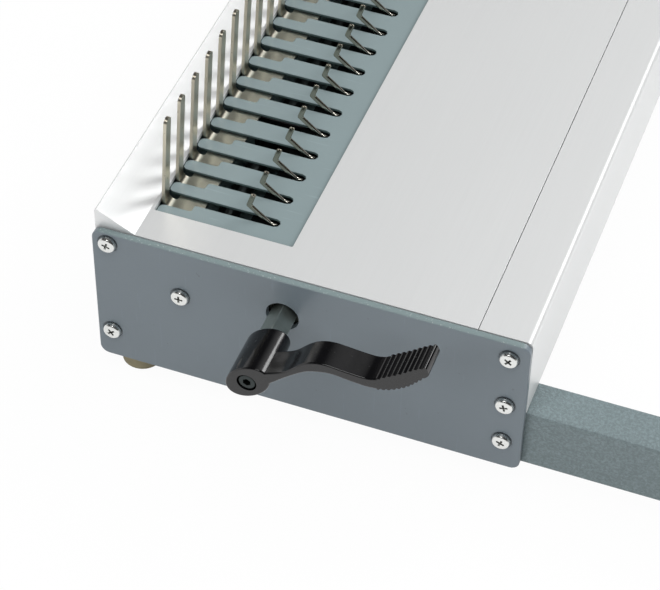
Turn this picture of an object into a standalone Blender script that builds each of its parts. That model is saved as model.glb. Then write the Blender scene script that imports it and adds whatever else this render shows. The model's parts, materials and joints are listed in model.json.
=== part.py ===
"""Comb closer: a counter machine that holds a plastic binding comb open.

A comb is hung on the row of upright fingers, and the lever at the left end works a
square shaft, two pinions and two racks that slide a row of hooks along slots beside them.

Metres. X points to the front, where the user stands, Y along the machine and Z up.
Stations are measured from the datum: the left end plate's outer face (y = 0), its rear
edge (x = 0) and the deck's top face (z = 0). Drops are measured down from the deck.
"""

import math

import bmesh
import bpy
from mathutils import Vector

# Clearances that all pieces share
GAP = 0.0003
OVERRUN = 0.002
WELD = 0.000001

# Comb pattern: nine sixteenths of an inch between rings
PITCH = 0.0142875
RING_COUNT = 21
FIRST_HOOK = 0.03215
HOOK_STATIONS = [FIRST_HOOK + PITCH * i for i in range(RING_COUNT)]
BODY_LENGTH = HOOK_STATIONS[-1] + FIRST_HOOK

# End plates
BODY_DEPTH = 0.183
PLATE_THICK = 0.0031
PLATE_CORNER = 0.004
PLATE_EDGE = 0.0004
INSIDE_LEFT = PLATE_THICK + GAP
INSIDE_RIGHT = BODY_LENGTH - INSIDE_LEFT
INSIDE_LENGTH = INSIDE_RIGHT - INSIDE_LEFT

# Deck cover: deck, rear ridge and rear wall in one extrusion
CASE_HEIGHT = 0.0392
DECK_THICK = 0.002
REAR_SETBACK = 0.0003
REAR_WALL = 0.002
RIDGE_HEIGHT = 0.0084
RIDGE_LAND = 0.0008
SLOPE_FOOT = 0.01745
JOINT_LINE = 0.1608
JOINT_LEG = 0.008
REAR_INNER = REAR_SETBACK + REAR_WALL

# Window in the deck over the slotted plate
WINDOW_REAR = 0.0188
WINDOW_FRONT = 0.0784
WINDOW_MARGIN = 0.0196
WINDOW_CORNER = 0.0005

# Front rail: front strip and front wall in one extrusion
RAIL_WALL = 0.002
RAIL_ROUND = 0.0025
FRONT_INNER = BODY_DEPTH - RAIL_WALL

# Screws and the open screw ports of the extrusions
SCREW_RADIUS = 0.0019
SCREW_LENGTH = 0.012
SCREW_HEAD_RADIUS = 0.0038
SCREW_HEAD_HEIGHT = 0.0023
SCREW_HEAD_SHARES = [(0.0, 1.0), (0.68, 0.90), (0.96, 0.45), (1.0, 0.0)]
CROSS_LENGTH = 0.0046
CROSS_WIDTH = 0.0011
CROSS_DEPTH = 0.0013
HEAD_RECESS_DEPTH = 0.00035
HEAD_RECESS_RIM = 0.0006
SCREW_HOLE = SCREW_RADIUS + GAP
PORT_WALL = 0.0014
PORT_RADIUS = SCREW_HOLE + PORT_WALL
PORT_MOUTH = math.radians(60)
REAR_PORT_X = 0.0070
REAR_PORT_DROP = 0.0053
FRONT_PORT_INSET = 0.0081
FRONT_PORT_X = BODY_DEPTH - FRONT_PORT_INSET
TOP_PORT_DROP = 0.0077
LOW_PORT_RISE = 0.0051
LOW_PORT_DROP = CASE_HEIGHT - LOW_PORT_RISE
TIE_X = 0.0378
TIE_DROP = 0.0241
TIE_RADIUS = 0.0045

# Bottom pan
PAN_THICK = 0.0011
PAN_FLANGE = 0.012
PAN_TOP_DROP = CASE_HEIGHT - PAN_THICK

# Leg tubes, caps and feet
TUBE_WIDTH = 0.018
TUBE_HEIGHT = 0.0298
TUBE_WALL = 0.0012
TUBE_CORNER = 0.0016
TUBE_REAR = 0.0015
TUBE_REACH = 0.107
TUBE_FRONT = BODY_DEPTH + TUBE_REACH
TUBE_TOP_DROP = CASE_HEIGHT + GAP
TUBE_BOTTOM_DROP = TUBE_TOP_DROP + TUBE_HEIGHT
PLATE_LAP = 0.0012
PLATE_HEIGHT = TUBE_BOTTOM_DROP + PLATE_LAP
TUBE_SCREW_SHARE = 0.52
TUBE_SCREW_DROP = TUBE_TOP_DROP + TUBE_SCREW_SHARE * TUBE_HEIGHT
TUBE_SCREW_INSET = 0.0065
CAP_FLANGE = 0.002
CAP_PLUG = 0.0075
REAR_CAP_PLUG = TUBE_SCREW_INSET - SCREW_HOLE - TUBE_REAR
CAP_EDGE = 0.0005
FOOT_RADIUS = 0.0084
FOOT_BASE_RADIUS = 0.0088
FOOT_HEIGHT = 0.0107
FOOT_ROUND = 0.001
STEM_RADIUS = 0.0028
STEM_BARB = 0.0036
STEM_NOSE = 0.004
STEM_SPACE = 0.001
FOOT_INSET = CAP_PLUG + STEM_SPACE + STEM_BARB
FLOOR_DROP = TUBE_BOTTOM_DROP + GAP + FOOT_HEIGHT

# Slotted plate
SLOT_PLATE_DROP = DECK_THICK + GAP
SLOT_PLATE_THICK = 0.0012
SLOT_PLATE_UNDER = SLOT_PLATE_DROP + SLOT_PLATE_THICK
SLOT_PLATE_FRONT = 0.092
SLOT_PLATE_MARGIN = 0.0158
SLOT_WIDTH = 0.0046
SLOT_END = 0.0684
NOTCH_END = 0.0322
NOTCH_SIDE = 0.00375
NOTCH_ROUND = 0.0008
TONGUE_REAR = 0.0188
TONGUE_ROUND = 0.0022

# Finger comb: one stamping, the fingers bent up from a flat strip
FINGER_FRONT = 0.02045
FINGER_LEAN = math.radians(3.25)
FINGER_THICK = 0.0014
FINGER_WIDTH = 0.0047
FINGER_HEIGHT = 0.0425
FINGER_OFFSET = 0.00335
FINGER_FLARE = 0.0006
FLARE_HEIGHT = 0.005
STRIP_THICK = 0.0012
STRIP_FRONT = 0.036
STRIP_OVERHANG = 0.009
STRIP_TOP_DROP = SLOT_PLATE_UNDER + GAP
STRIP_UNDER_DROP = STRIP_TOP_DROP + STRIP_THICK

# Hooks: stampings that stand in the carriage and rise through the slots
HOOK_THICK = 0.0013
HOOK_WIDTH = 0.0022
ELBOW_X = 0.0550
ELBOW_RISE = 0.0039
TIP_X = 0.0571
TIP_RISE = 0.0103
SHANK_X = 0.0639
SHANK_DROP = 0.0034
TANG_REAR = 0.0626
TANG_WIDTH = 0.0044
TANG_TOP_DROP = 0.0029

# Drive: square shaft, pinions and racks
SHAFT_X = 0.0816
SHAFT_DROP = 0.0194
SHAFT_SIDE = 0.0079375
SHAFT_TURN = math.radians(41.5)
SHAFT_HOLE = 0.007
SHAFT_END_GAP = 0.002
MODULE = 0.00125
PINION_TEETH = 18
PRESSURE_ANGLE = math.radians(20)
BACKLASH = 0.0002
ROOT_SHARE = 1.25
PITCH_RADIUS = MODULE * PINION_TEETH / 2
TIP_RADIUS = PITCH_RADIUS + MODULE
ROOT_RADIUS = PITCH_RADIUS - ROOT_SHARE * MODULE
BASE_RADIUS = PITCH_RADIUS * math.cos(PRESSURE_ANGLE)
CIRCULAR_PITCH = math.pi * MODULE
PITCH_LINE_DROP = SHAFT_DROP - PITCH_RADIUS
LEVER_SWING = math.radians(130)
TRAVEL = PITCH_RADIUS * LEVER_SWING
PINION_WIDTH = 0.008
HUB_RADIUS = 0.008

# Bearing blocks that carry the pinion hubs
BLOCK_THICK = 0.010
BLOCK_WIDTH = 0.036
BLOCK_TOP_WIDTH = 0.024
BLOCK_SHOULDER = 0.016
BLOCK_ROUND = 0.003
PINION_START = INSIDE_LEFT + GAP + BLOCK_THICK + GAP

# Hook carriage and the slide block under it
BAR_FRONT = 0.072
BAR_WIDTH = 0.017
BAR_THICK = 0.004
BAR_REAR = BAR_FRONT - BAR_WIDTH
BAR_TOP_DROP = STRIP_UNDER_DROP + 2 * GAP
BAR_UNDER_DROP = BAR_TOP_DROP + BAR_THICK
BAR_START = PINION_START
TANG_SEAT = 0.003
RACK_LAP = 0.006
RACK_TOP_DROP = SLOT_PLATE_UNDER + 2 * GAP
SLIDE_WIDTH = 0.012
SLIDE_REAR = 0.031
SLIDE_ROUND = 0.002
SLIDE_RING = 5

# Lever
LEVER_HUB_HALF_LENGTH = 0.0106
LEVER_HUB_HALF_WIDTH = 0.0070
LEVER_HUB_SHIFT = 0.0004
LEVER_HUB_DEPTH = 0.023
LEVER_STANDOFF = 0.015
LEVER_OUTER = LEVER_STANDOFF + LEVER_HUB_DEPTH
ARM_WIDTH = 0.0128
ARM_REACH = 0.0725
ARM_RISE = 0.0357
LEVER_EDGE = 0.0005
SHAFT_SEAT = 0.016
LEVER_BORE_RADIUS = 0.0041
LEVER_BORE_DEPTH = 0.0045
LEVER_SCREW_HEAD = 0.0036
LEVER_SCREW_RADIUS = 0.0019
LEVER_SCREW_LENGTH = 0.014
HEX_RADIUS = 0.0018
HEX_DEPTH = 0.002
TOP_TEETH = 9
UNDER_TEETH = 10
TOP_TOOTH_DEPTH = 0.0006
UNDER_TOOTH_DEPTH = 0.0006
ARM_TOP_SHARES = [(0.210, 0.333), (0.296, 0.506), (0.360, 0.594), (0.439, 0.630), (0.573, 0.608),
                  (0.664, 0.600), (0.719, 0.630)]
PAD_TOP_SHARES = [(0.719, 0.630), (0.760, 0.696), (0.841, 0.812), (0.920, 0.940), (0.972, 1.006)]
NOSE_SHARES = [(0.991, 0.988), (1.002, 0.931)]
PAD_UNDER_SHARES = [(0.985, 0.868), (0.945, 0.768), (0.885, 0.639), (0.804, 0.533), (0.738, 0.485)]
ARM_UNDER_SHARES = [(0.738, 0.485), (0.666, 0.471), (0.574, 0.485), (0.467, 0.507), (0.360, 0.456),
                    (0.296, 0.379), (0.210, 0.233)]

# The part's own origin: the middle of its box, on the floor
PART_FRONT = TUBE_FRONT + GAP + CAP_FLANGE
HEAD_PROUD = SCREW_HEAD_HEIGHT + GAP - HEAD_RECESS_DEPTH
PART_RIGHT = BODY_LENGTH + HEAD_PROUD
PART_REAR = TUBE_REAR - GAP - CAP_FLANGE
ORIGIN = Vector(((PART_REAR + PART_FRONT) / 2, (PART_RIGHT - LEVER_OUTER) / 2, -FLOOR_DROP))
SHAFT_AXIS = Vector((SHAFT_X, 0, -SHAFT_DROP))


# Materials

def finish(name, color, roughness, metallic=0.0):
    """A Principled material with one plain colour."""
    material = bpy.data.materials.new(name)
    material.use_nodes = True
    shader = material.node_tree.nodes["Principled BSDF"]
    shader.inputs["Base Color"].default_value = (*color, 1.0)
    shader.inputs["Roughness"].default_value = roughness
    shader.inputs["Metallic"].default_value = metallic
    return material


SLATE = (0.190, 0.222, 0.245)
TUBE_GREY = (0.190, 0.235, 0.245)
PLATE_GREY = (0.200, 0.245, 0.255)
ANODISED = (0.660, 0.670, 0.670)
NICKEL = (0.560, 0.550, 0.510)
ZINC = (0.640, 0.650, 0.620)
STEEL = (0.330, 0.350, 0.330)
BLACK_OXIDE = (0.045, 0.050, 0.050)
LEVER_BLACK = (0.012, 0.012, 0.014)
NYLON_BLACK = (0.010, 0.010, 0.011)
NYLON_WHITE = (0.700, 0.700, 0.660)
TAN_RUBBER = (0.270, 0.230, 0.125)
PAN_GREY = (0.100, 0.145, 0.140)


# Outlines

def arc(centre, radius, start, end, steps):
    """Points on an arc, angles in degrees, both ends included."""
    points = []
    for i in range(steps + 1):
        angle = math.radians(start + (end - start) * i / steps)
        points.append((centre[0] + radius * math.cos(angle), centre[1] + radius * math.sin(angle)))
    return points


def rounded_box(low, high, radius, steps=2):
    """A rectangle between two corners, with round corners."""
    points = arc((high[0] - radius, high[1] - radius), radius, 0, 90, steps)
    points += arc((low[0] + radius, high[1] - radius), radius, 90, 180, steps)
    points += arc((low[0] + radius, low[1] + radius), radius, 180, 270, steps)
    points += arc((high[0] - radius, low[1] + radius), radius, 270, 360, steps)
    return points


def smooth(points, steps):
    """A Catmull-Rom curve through the points, both ends included."""
    padded = [points[0], *points, points[-1]]
    curve = []
    for i in range(len(points) - 1):
        a, b, c, d = (Vector(p) for p in padded[i:i + 4])
        for k in range(steps):
            t = k / steps
            curve.append((2 * b + (c - a) * t + (2 * a - 5 * b + 4 * c - d) * t ** 2
                          + (3 * b - a - 3 * c + d) * t ** 3) / 2)
    curve.append(Vector(points[-1]))
    return [tuple(p) for p in curve]


# Meshes and objects

def finish_mesh(bm, name, material, flat_angle=35):
    """Turn a bmesh into a mesh with its faces out, shaded smooth but for its sharp edges."""
    bmesh.ops.recalc_face_normals(bm, faces=bm.faces)
    mesh = bpy.data.meshes.new(name)
    bm.to_mesh(mesh)
    bm.free()
    mesh.materials.append(material)
    mesh.shade_smooth()
    mesh.set_sharp_from_angle(angle=math.radians(flat_angle))
    return mesh


def add(name, mesh, carrier, place=(0, 0, 0), turn=0.0):
    """Place a mesh as a named piece on its carrier, an empty at a datum or on an axis."""
    piece = bpy.data.objects.new(name, mesh)
    piece.location = place
    piece.rotation_euler = (0, 0, turn)
    piece.parent = carrier
    bpy.context.scene.collection.objects.link(piece)
    return piece


def datum(name, place):
    """An empty that carries the pieces of one body."""
    empty = bpy.data.objects.new(name, None)
    empty.location = place
    bpy.context.scene.collection.objects.link(empty)
    return empty


def moved_vertices(grown):
    """The vertices that an extrusion made."""
    return [item for item in grown["geom"] if isinstance(item, bmesh.types.BMVert)]


def prism_y(bm, outline, start, end):
    """Extrude an (x, z) outline along Y."""
    face = bm.faces.new([bm.verts.new((x, start, z)) for x, z in outline])
    grown = bmesh.ops.extrude_face_region(bm, geom=[face])
    bmesh.ops.translate(bm, verts=moved_vertices(grown), vec=(0, end - start, 0))


def prism_z(bm, outline, start, end):
    """Extrude an (x, y) outline along Z."""
    face = bm.faces.new([bm.verts.new((x, y, start)) for x, y in outline])
    grown = bmesh.ops.extrude_face_region(bm, geom=[face])
    bmesh.ops.translate(bm, verts=moved_vertices(grown), vec=(0, 0, end - start))


def block(bm, low, high):
    """A plain box between two corners."""
    prism_z(bm, [(low[0], low[1]), (high[0], low[1]), (high[0], high[1]), (low[0], high[1])],
            low[2], high[2])


def rod(bm, radius, start, end, place=(0, 0), steps=24):
    """A cylinder along Y, its axis at an (x, z) place."""
    prism_y(bm, arc(place, radius, 0, 360, steps)[:-1], start, end)


def loft_x(bm, sections):
    """A solid along X through rounded (y, z) sections: (x, low, high, corner radius)."""
    rings = []
    for x, low, high, radius in sections:
        rings.append([bm.verts.new((x, y, z)) for y, z in rounded_box(low, high, radius)])
    for near, far in zip(rings, rings[1:]):
        for i in range(len(near)):
            j = (i + 1) % len(near)
            bm.faces.new((near[i], near[j], far[j], far[i]))
    bm.faces.new(rings[0])
    bm.faces.new(rings[-1])


def turned(bm, profile, axis, steps=28):
    """Spin a profile of (radius, along) points about the Y or the Z axis."""
    if axis == "Y":
        verts = [bm.verts.new((radius, along, 0)) for radius, along in profile]
    else:
        verts = [bm.verts.new((radius, 0, along)) for radius, along in profile]
    edges = [bm.edges.new(pair) for pair in zip(verts, verts[1:])]
    spin_axis = (0, 1, 0) if axis == "Y" else (0, 0, 1)
    bmesh.ops.spin(bm, geom=verts + edges, cent=(0, 0, 0), axis=spin_axis,
                   angle=math.tau, steps=steps, use_merge=True)
    bmesh.ops.remove_doubles(bm, verts=bm.verts, dist=WELD)


def bevel_sharp(bm, width, segments=1, keep=None):
    """Round the sharp edges, but for those where keep(edge) is true."""
    edges = []
    for edge in bm.edges:
        if len(edge.link_faces) != 2 or (keep and keep(edge)):
            continue
        if edge.calc_face_angle() > math.radians(30):
            edges.append(edge)
    bmesh.ops.bevel(bm, geom=edges, offset=width, segments=segments, profile=0.5,
                    affect="EDGES", clamp_overlap=True, material=-1)


def cut(piece, bm, name, operation="DIFFERENCE"):
    """Cut a piece with the closed shapes in a bmesh, or join them to it."""
    bmesh.ops.recalc_face_normals(bm, faces=bm.faces)
    mesh = bpy.data.meshes.new(name)
    bm.to_mesh(mesh)
    bm.free()
    cutter = bpy.data.objects.new(name, mesh)
    cutter.parent = piece
    cutter.hide_render = True
    cutter.display_type = "WIRE"
    bpy.context.scene.collection.objects.link(cutter)
    modifier = piece.modifiers.new(name, "BOOLEAN")
    modifier.operation = operation
    modifier.solver = "EXACT"
    modifier.object = cutter


# Casing

def screw_stations():
    """Where the six screws of each end plate sit, as (name, x, drop)."""
    return [
        ("rear_top", REAR_PORT_X, REAR_PORT_DROP),
        ("rear_leg", TUBE_SCREW_INSET, TUBE_SCREW_DROP),
        ("tie", TIE_X, TIE_DROP),
        ("front_top", FRONT_PORT_X, TOP_PORT_DROP),
        ("front_low", FRONT_PORT_X, LOW_PORT_DROP),
        ("front_leg", FRONT_PORT_X, TUBE_SCREW_DROP),
    ]


def end_plate(name, carrier, outer, inward, shaft_hole):
    """A steel end plate with its screw holes, shallow head recesses and the shaft's hole."""
    bm = bmesh.new()
    outline = rounded_box((0, -PLATE_HEIGHT), (BODY_DEPTH, 0), PLATE_CORNER, 5)
    prism_y(bm, outline, outer, outer + inward * PLATE_THICK)
    bevel_sharp(bm, PLATE_EDGE)
    paint = finish(name + "_paint", SLATE, 0.45)
    plate = add(name, finish_mesh(bm, name, paint), carrier)
    holes = bmesh.new()
    far = outer + inward * (PLATE_THICK + OVERRUN)
    near = outer - inward * OVERRUN
    for _, x, drop in screw_stations():
        rod(holes, SCREW_HOLE, outer + inward * HEAD_RECESS_DEPTH / 2, far, (x, -drop), 12)
    if shaft_hole:
        rod(holes, SHAFT_HOLE, near, far, (SHAFT_X, -SHAFT_DROP), 32)
    recesses = bmesh.new()
    for _, x, drop in screw_stations():
        rod(recesses, SCREW_HEAD_RADIUS + HEAD_RECESS_RIM, near, outer + inward * HEAD_RECESS_DEPTH,
            (x, -drop), 16)
    cut(plate, recesses, name + "_recess_cutter")
    cut(plate, holes, name + "_hole_cutter")


def deck_cover(carrier):
    """The deck, ridge and rear wall, with the window cut over the slotted plate."""
    port = (REAR_PORT_X, -REAR_PORT_DROP)
    mouth = math.degrees(PORT_MOUTH) / 2
    front = JOINT_LINE - GAP / 2
    outline = [
        (REAR_SETBACK, -CASE_HEIGHT),
        (REAR_SETBACK, RIDGE_HEIGHT - RIDGE_LAND),
        (REAR_SETBACK + RIDGE_LAND, RIDGE_HEIGHT),
        (SLOPE_FOOT, 0),
        (front, 0),
        (front, -JOINT_LEG),
        (front - DECK_THICK, -JOINT_LEG),
        (front - DECK_THICK, -DECK_THICK),
        (REAR_PORT_X + PORT_RADIUS, -DECK_THICK),
    ]
    outline += arc(port, PORT_RADIUS, 0, -90 + mouth, 4)
    outline += arc(port, SCREW_HOLE, -90 + mouth, 270 - mouth, 14)
    outline += arc(port, PORT_RADIUS, 270 - mouth, 180, 4)
    outline += [(REAR_INNER, -REAR_PORT_DROP), (REAR_INNER, -CASE_HEIGHT)]
    bm = bmesh.new()
    prism_y(bm, outline, INSIDE_LEFT, INSIDE_RIGHT)
    material = finish("deck_cover_anodising", ANODISED, 0.38, 0.9)
    cover = add("deck_cover", finish_mesh(bm, "deck_cover", material), carrier)
    window = bmesh.new()
    low = (WINDOW_REAR, WINDOW_MARGIN)
    high = (WINDOW_FRONT, BODY_LENGTH - WINDOW_MARGIN)
    prism_z(window, rounded_box(low, high, WINDOW_CORNER), -DECK_THICK - OVERRUN, RIDGE_HEIGHT)
    cut(cover, window, "window_cutter")


def front_port(drop):
    """The outline of a screw port on the front wall, open to the rear, from top to bottom."""
    port = (FRONT_PORT_X, -drop)
    mouth = math.degrees(PORT_MOUTH) / 2
    outline = [(FRONT_INNER, -drop + PORT_RADIUS)]
    outline += arc(port, PORT_RADIUS, 90, 180 - mouth, 4)
    outline += arc(port, SCREW_HOLE, 180 - mouth, -180 + mouth, 14)
    outline += arc(port, PORT_RADIUS, 180 + mouth, 270, 4)
    outline.append((FRONT_INNER, -drop - PORT_RADIUS))
    return outline


def front_rail(carrier):
    """The front strip, rounded into the front wall, with its two screw ports."""
    rear = JOINT_LINE + GAP / 2
    outline = [(rear, 0)]
    outline += arc((BODY_DEPTH - RAIL_ROUND, -RAIL_ROUND), RAIL_ROUND, 90, 0, 6)
    outline += [(BODY_DEPTH, -CASE_HEIGHT), (FRONT_INNER, -CASE_HEIGHT)]
    outline += reversed(front_port(LOW_PORT_DROP))
    outline += reversed(front_port(TOP_PORT_DROP))
    outline += [(FRONT_INNER, -DECK_THICK), (rear + DECK_THICK, -DECK_THICK)]
    outline += [(rear + DECK_THICK, -JOINT_LEG), (rear, -JOINT_LEG)]
    bm = bmesh.new()
    prism_y(bm, outline, INSIDE_LEFT, INSIDE_RIGHT)
    material = finish("front_rail_anodising", ANODISED, 0.35, 0.9)
    add("front_rail", finish_mesh(bm, "front_rail", material), carrier)


def bottom_pan(carrier):
    """The sheet steel pan that closes the case, with a flange up the rear wall."""
    rear = REAR_INNER + GAP
    front = FRONT_INNER - GAP
    outline = [
        (rear, -CASE_HEIGHT),
        (rear, -PAN_TOP_DROP + PAN_FLANGE),
        (rear + PAN_THICK, -PAN_TOP_DROP + PAN_FLANGE),
        (rear + PAN_THICK, -PAN_TOP_DROP),
        (front, -PAN_TOP_DROP),
        (front, -CASE_HEIGHT),
    ]
    bm = bmesh.new()
    prism_y(bm, outline, INSIDE_LEFT, INSIDE_RIGHT)
    material = finish("bottom_pan_paint", PAN_GREY, 0.6)
    add("bottom_pan", finish_mesh(bm, "bottom_pan", material), carrier)


def tie_bar(carrier):
    """The round bar between the end plates, tapped at both ends."""
    profile = [
        (0, INSIDE_LEFT + SCREW_LENGTH),
        (SCREW_HOLE, INSIDE_LEFT + SCREW_LENGTH),
        (SCREW_HOLE, INSIDE_LEFT),
        (TIE_RADIUS, INSIDE_LEFT),
        (TIE_RADIUS, INSIDE_RIGHT),
        (SCREW_HOLE, INSIDE_RIGHT),
        (SCREW_HOLE, INSIDE_RIGHT - SCREW_LENGTH),
        (0, INSIDE_RIGHT - SCREW_LENGTH),
    ]
    bm = bmesh.new()
    turned(bm, profile, "Y", 20)
    material = finish("tie_bar_oxide", BLACK_OXIDE, 0.45, 0.9)
    add("tie_bar", finish_mesh(bm, "tie_bar", material), carrier, (TIE_X, 0, -TIE_DROP))


def plate_screws(carrier):
    """Six cross-recessed pan head screws for each end plate, sharing one mesh."""
    bm = bmesh.new()
    rise = SCREW_HEAD_HEIGHT
    profile = [(SCREW_HEAD_RADIUS * out, -rise * up) for out, up in SCREW_HEAD_SHARES]
    profile += [(SCREW_RADIUS, 0), (SCREW_RADIUS, SCREW_LENGTH), (0, SCREW_LENGTH)]
    turned(bm, profile, "Y", 12)
    mesh = finish_mesh(bm, "plate_screw", finish("plate_screw_zinc", ZINC, 0.3, 1.0))
    for side, place, turn in (("left", 0, 0.0), ("right", BODY_LENGTH, math.pi)):
        seat = (HEAD_RECESS_DEPTH - GAP) * (1 if side == "left" else -1)
        for name, x, drop in screw_stations():
            screw = add(f"{side}_{name}_screw", mesh, carrier, (x, place + seat, -drop), turn)
            cross = bmesh.new()
            half = CROSS_WIDTH / 2
            reach = CROSS_LENGTH / 2
            block(cross, (-reach, -rise - OVERRUN, -half), (reach, -rise + CROSS_DEPTH, half))
            cut(screw, cross, screw.name + "_slot_cutter")
            cross = bmesh.new()
            block(cross, (-half, -rise - OVERRUN, -reach), (half, -rise + CROSS_DEPTH, reach))
            cut(screw, cross, screw.name + "_cross_cutter")


# Legs

def leg_tube(name, carrier, near):
    """A rectangular steel leg under the case, holed for its two screws and its two feet."""
    outer = rounded_box((near, -TUBE_BOTTOM_DROP), (near + TUBE_WIDTH, -TUBE_TOP_DROP), TUBE_CORNER)
    inner = rounded_box((near + TUBE_WALL, -TUBE_BOTTOM_DROP + TUBE_WALL),
                        (near + TUBE_WIDTH - TUBE_WALL, -TUBE_TOP_DROP - TUBE_WALL),
                        TUBE_CORNER - TUBE_WALL)
    bm = bmesh.new()
    rings = [[bm.verts.new((TUBE_REAR, y, z)) for y, z in ring] for ring in (outer, inner)]
    ends = []
    for i in range(len(outer)):
        j = (i + 1) % len(outer)
        ends.append(bm.faces.new((rings[0][i], rings[0][j], rings[1][j], rings[1][i])))
    grown = bmesh.ops.extrude_face_region(bm, geom=ends)
    bmesh.ops.translate(bm, verts=moved_vertices(grown), vec=(TUBE_FRONT - TUBE_REAR, 0, 0))
    material = finish(name + "_paint", TUBE_GREY, 0.5)
    tube = add(name, finish_mesh(bm, name, material), carrier)
    holes = bmesh.new()
    wall_side = near if near < BODY_LENGTH / 2 else near + TUBE_WIDTH
    for x in (TUBE_SCREW_INSET, FRONT_PORT_X):
        rod(holes, SCREW_HOLE, wall_side - OVERRUN, wall_side + OVERRUN, (x, -TUBE_SCREW_DROP), 12)
    for x in foot_stations():
        ring = arc((x, near + TUBE_WIDTH / 2), STEM_RADIUS + GAP, 0, 360, 16)[:-1]
        prism_z(holes, ring, -TUBE_BOTTOM_DROP - OVERRUN, -TUBE_BOTTOM_DROP + OVERRUN)
    cut(tube, holes, name + "_hole_cutter")


def foot_stations():
    """The feet's places along a leg."""
    return (TUBE_REAR + FOOT_INSET, TUBE_FRONT - FOOT_INSET)


def leg_cap(name, carrier, near, end, outward, plug):
    """A moulded cap whose plug sits in the end of a leg tube."""
    low = (near, -TUBE_BOTTOM_DROP)
    high = (near + TUBE_WIDTH, -TUBE_TOP_DROP)
    inset = TUBE_WALL + GAP
    plug_low = (low[0] + inset, low[1] + inset)
    plug_high = (high[0] - inset, high[1] - inset)
    nose = CAP_EDGE * 2
    seat = end + outward * GAP
    sections = [
        (seat + outward * CAP_FLANGE, (low[0] + CAP_EDGE, low[1] + CAP_EDGE),
         (high[0] - CAP_EDGE, high[1] - CAP_EDGE), TUBE_CORNER),
        (seat + outward * (CAP_FLANGE - CAP_EDGE), low, high, TUBE_CORNER),
        (seat, low, high, TUBE_CORNER),
        (seat, plug_low, plug_high, CAP_EDGE),
        (seat - outward * (plug - nose), plug_low, plug_high, CAP_EDGE),
        (seat - outward * plug, (plug_low[0] + CAP_EDGE, plug_low[1] + CAP_EDGE),
         (plug_high[0] - CAP_EDGE, plug_high[1] - CAP_EDGE), CAP_EDGE),
    ]
    bm = bmesh.new()
    loft_x(bm, sections)
    add(name, finish_mesh(bm, name, finish(name + "_plastic", NYLON_BLACK, 0.5)), carrier)


def rubber_feet(carrier, legs):
    """Round rubber feet whose barbed stems push into the legs."""
    bm = bmesh.new()
    top = FOOT_HEIGHT
    seat = top + GAP + TUBE_WALL + GAP
    profile = [
        (0, 0),
        (FOOT_BASE_RADIUS - FOOT_ROUND, 0),
        (FOOT_BASE_RADIUS, FOOT_ROUND),
        (FOOT_RADIUS, top - FOOT_ROUND),
        (FOOT_RADIUS - FOOT_ROUND / 2, top),
        (STEM_RADIUS, top),
        (STEM_RADIUS, seat),
        (STEM_BARB, seat),
        (STEM_RADIUS, seat + STEM_NOSE),
        (0, seat + STEM_NOSE),
    ]
    turned(bm, profile, "Z", 16)
    mesh = finish_mesh(bm, "rubber_foot", finish("rubber_foot_tan", TAN_RUBBER, 0.8))
    for side, near in legs:
        for end, x in zip(("rear", "front"), foot_stations()):
            place = (x, near + TUBE_WIDTH / 2, -FLOOR_DROP)
            add(f"{side}_{end}_foot", mesh, carrier, place)


# Slotted plate and fingers

def slot_outline(station):
    """One keyhole slot from its rear mouth round to its rear mouth again, in +Y order."""
    half = SLOT_WIDTH / 2
    near = station - half
    far = station + half
    wide = near - NOTCH_SIDE
    end = SLOT_END - half
    points = arc((TONGUE_REAR + TONGUE_ROUND, wide - TONGUE_ROUND), TONGUE_ROUND, 180, 90, 3)
    points += arc((NOTCH_END - NOTCH_ROUND, wide + NOTCH_ROUND), NOTCH_ROUND, -90, 0, 1)
    points += arc((NOTCH_END + NOTCH_ROUND, near - NOTCH_ROUND), NOTCH_ROUND, 180, 90, 1)
    points += arc((end, station), half, -90, 90, 4)
    points += arc((TONGUE_REAR + TONGUE_ROUND, far + TONGUE_ROUND), TONGUE_ROUND, 270, 180, 3)
    return points


def slotted_plate(carrier):
    """The steel plate under the window, its tongues free at the rear."""
    start = SLOT_PLATE_MARGIN
    end = BODY_LENGTH - SLOT_PLATE_MARGIN
    outline = [(TONGUE_REAR, start)]
    for station in HOOK_STATIONS:
        outline += slot_outline(station)
    outline += [(TONGUE_REAR, end), (SLOT_PLATE_FRONT, end), (SLOT_PLATE_FRONT, start)]
    bm = bmesh.new()
    prism_z(bm, outline, -SLOT_PLATE_UNDER, -SLOT_PLATE_DROP)
    material = finish("slotted_plate_paint", PLATE_GREY, 0.45)
    add("slotted_plate", finish_mesh(bm, "slotted_plate", material), carrier)


def finger_outline(station):
    """One finger in (y, z): straight near side, round tip and a far side flared at the root."""
    middle = station - FINGER_OFFSET
    half = FINGER_WIDTH / 2
    root = -STRIP_TOP_DROP
    waist = root + FLARE_HEIGHT
    points = [(middle - half, root)]
    points += arc((middle, FINGER_HEIGHT - half), half, 180, 0, 4)
    points += [(middle + half, waist), (middle + half + FINGER_FLARE, root)]
    return points


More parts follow.
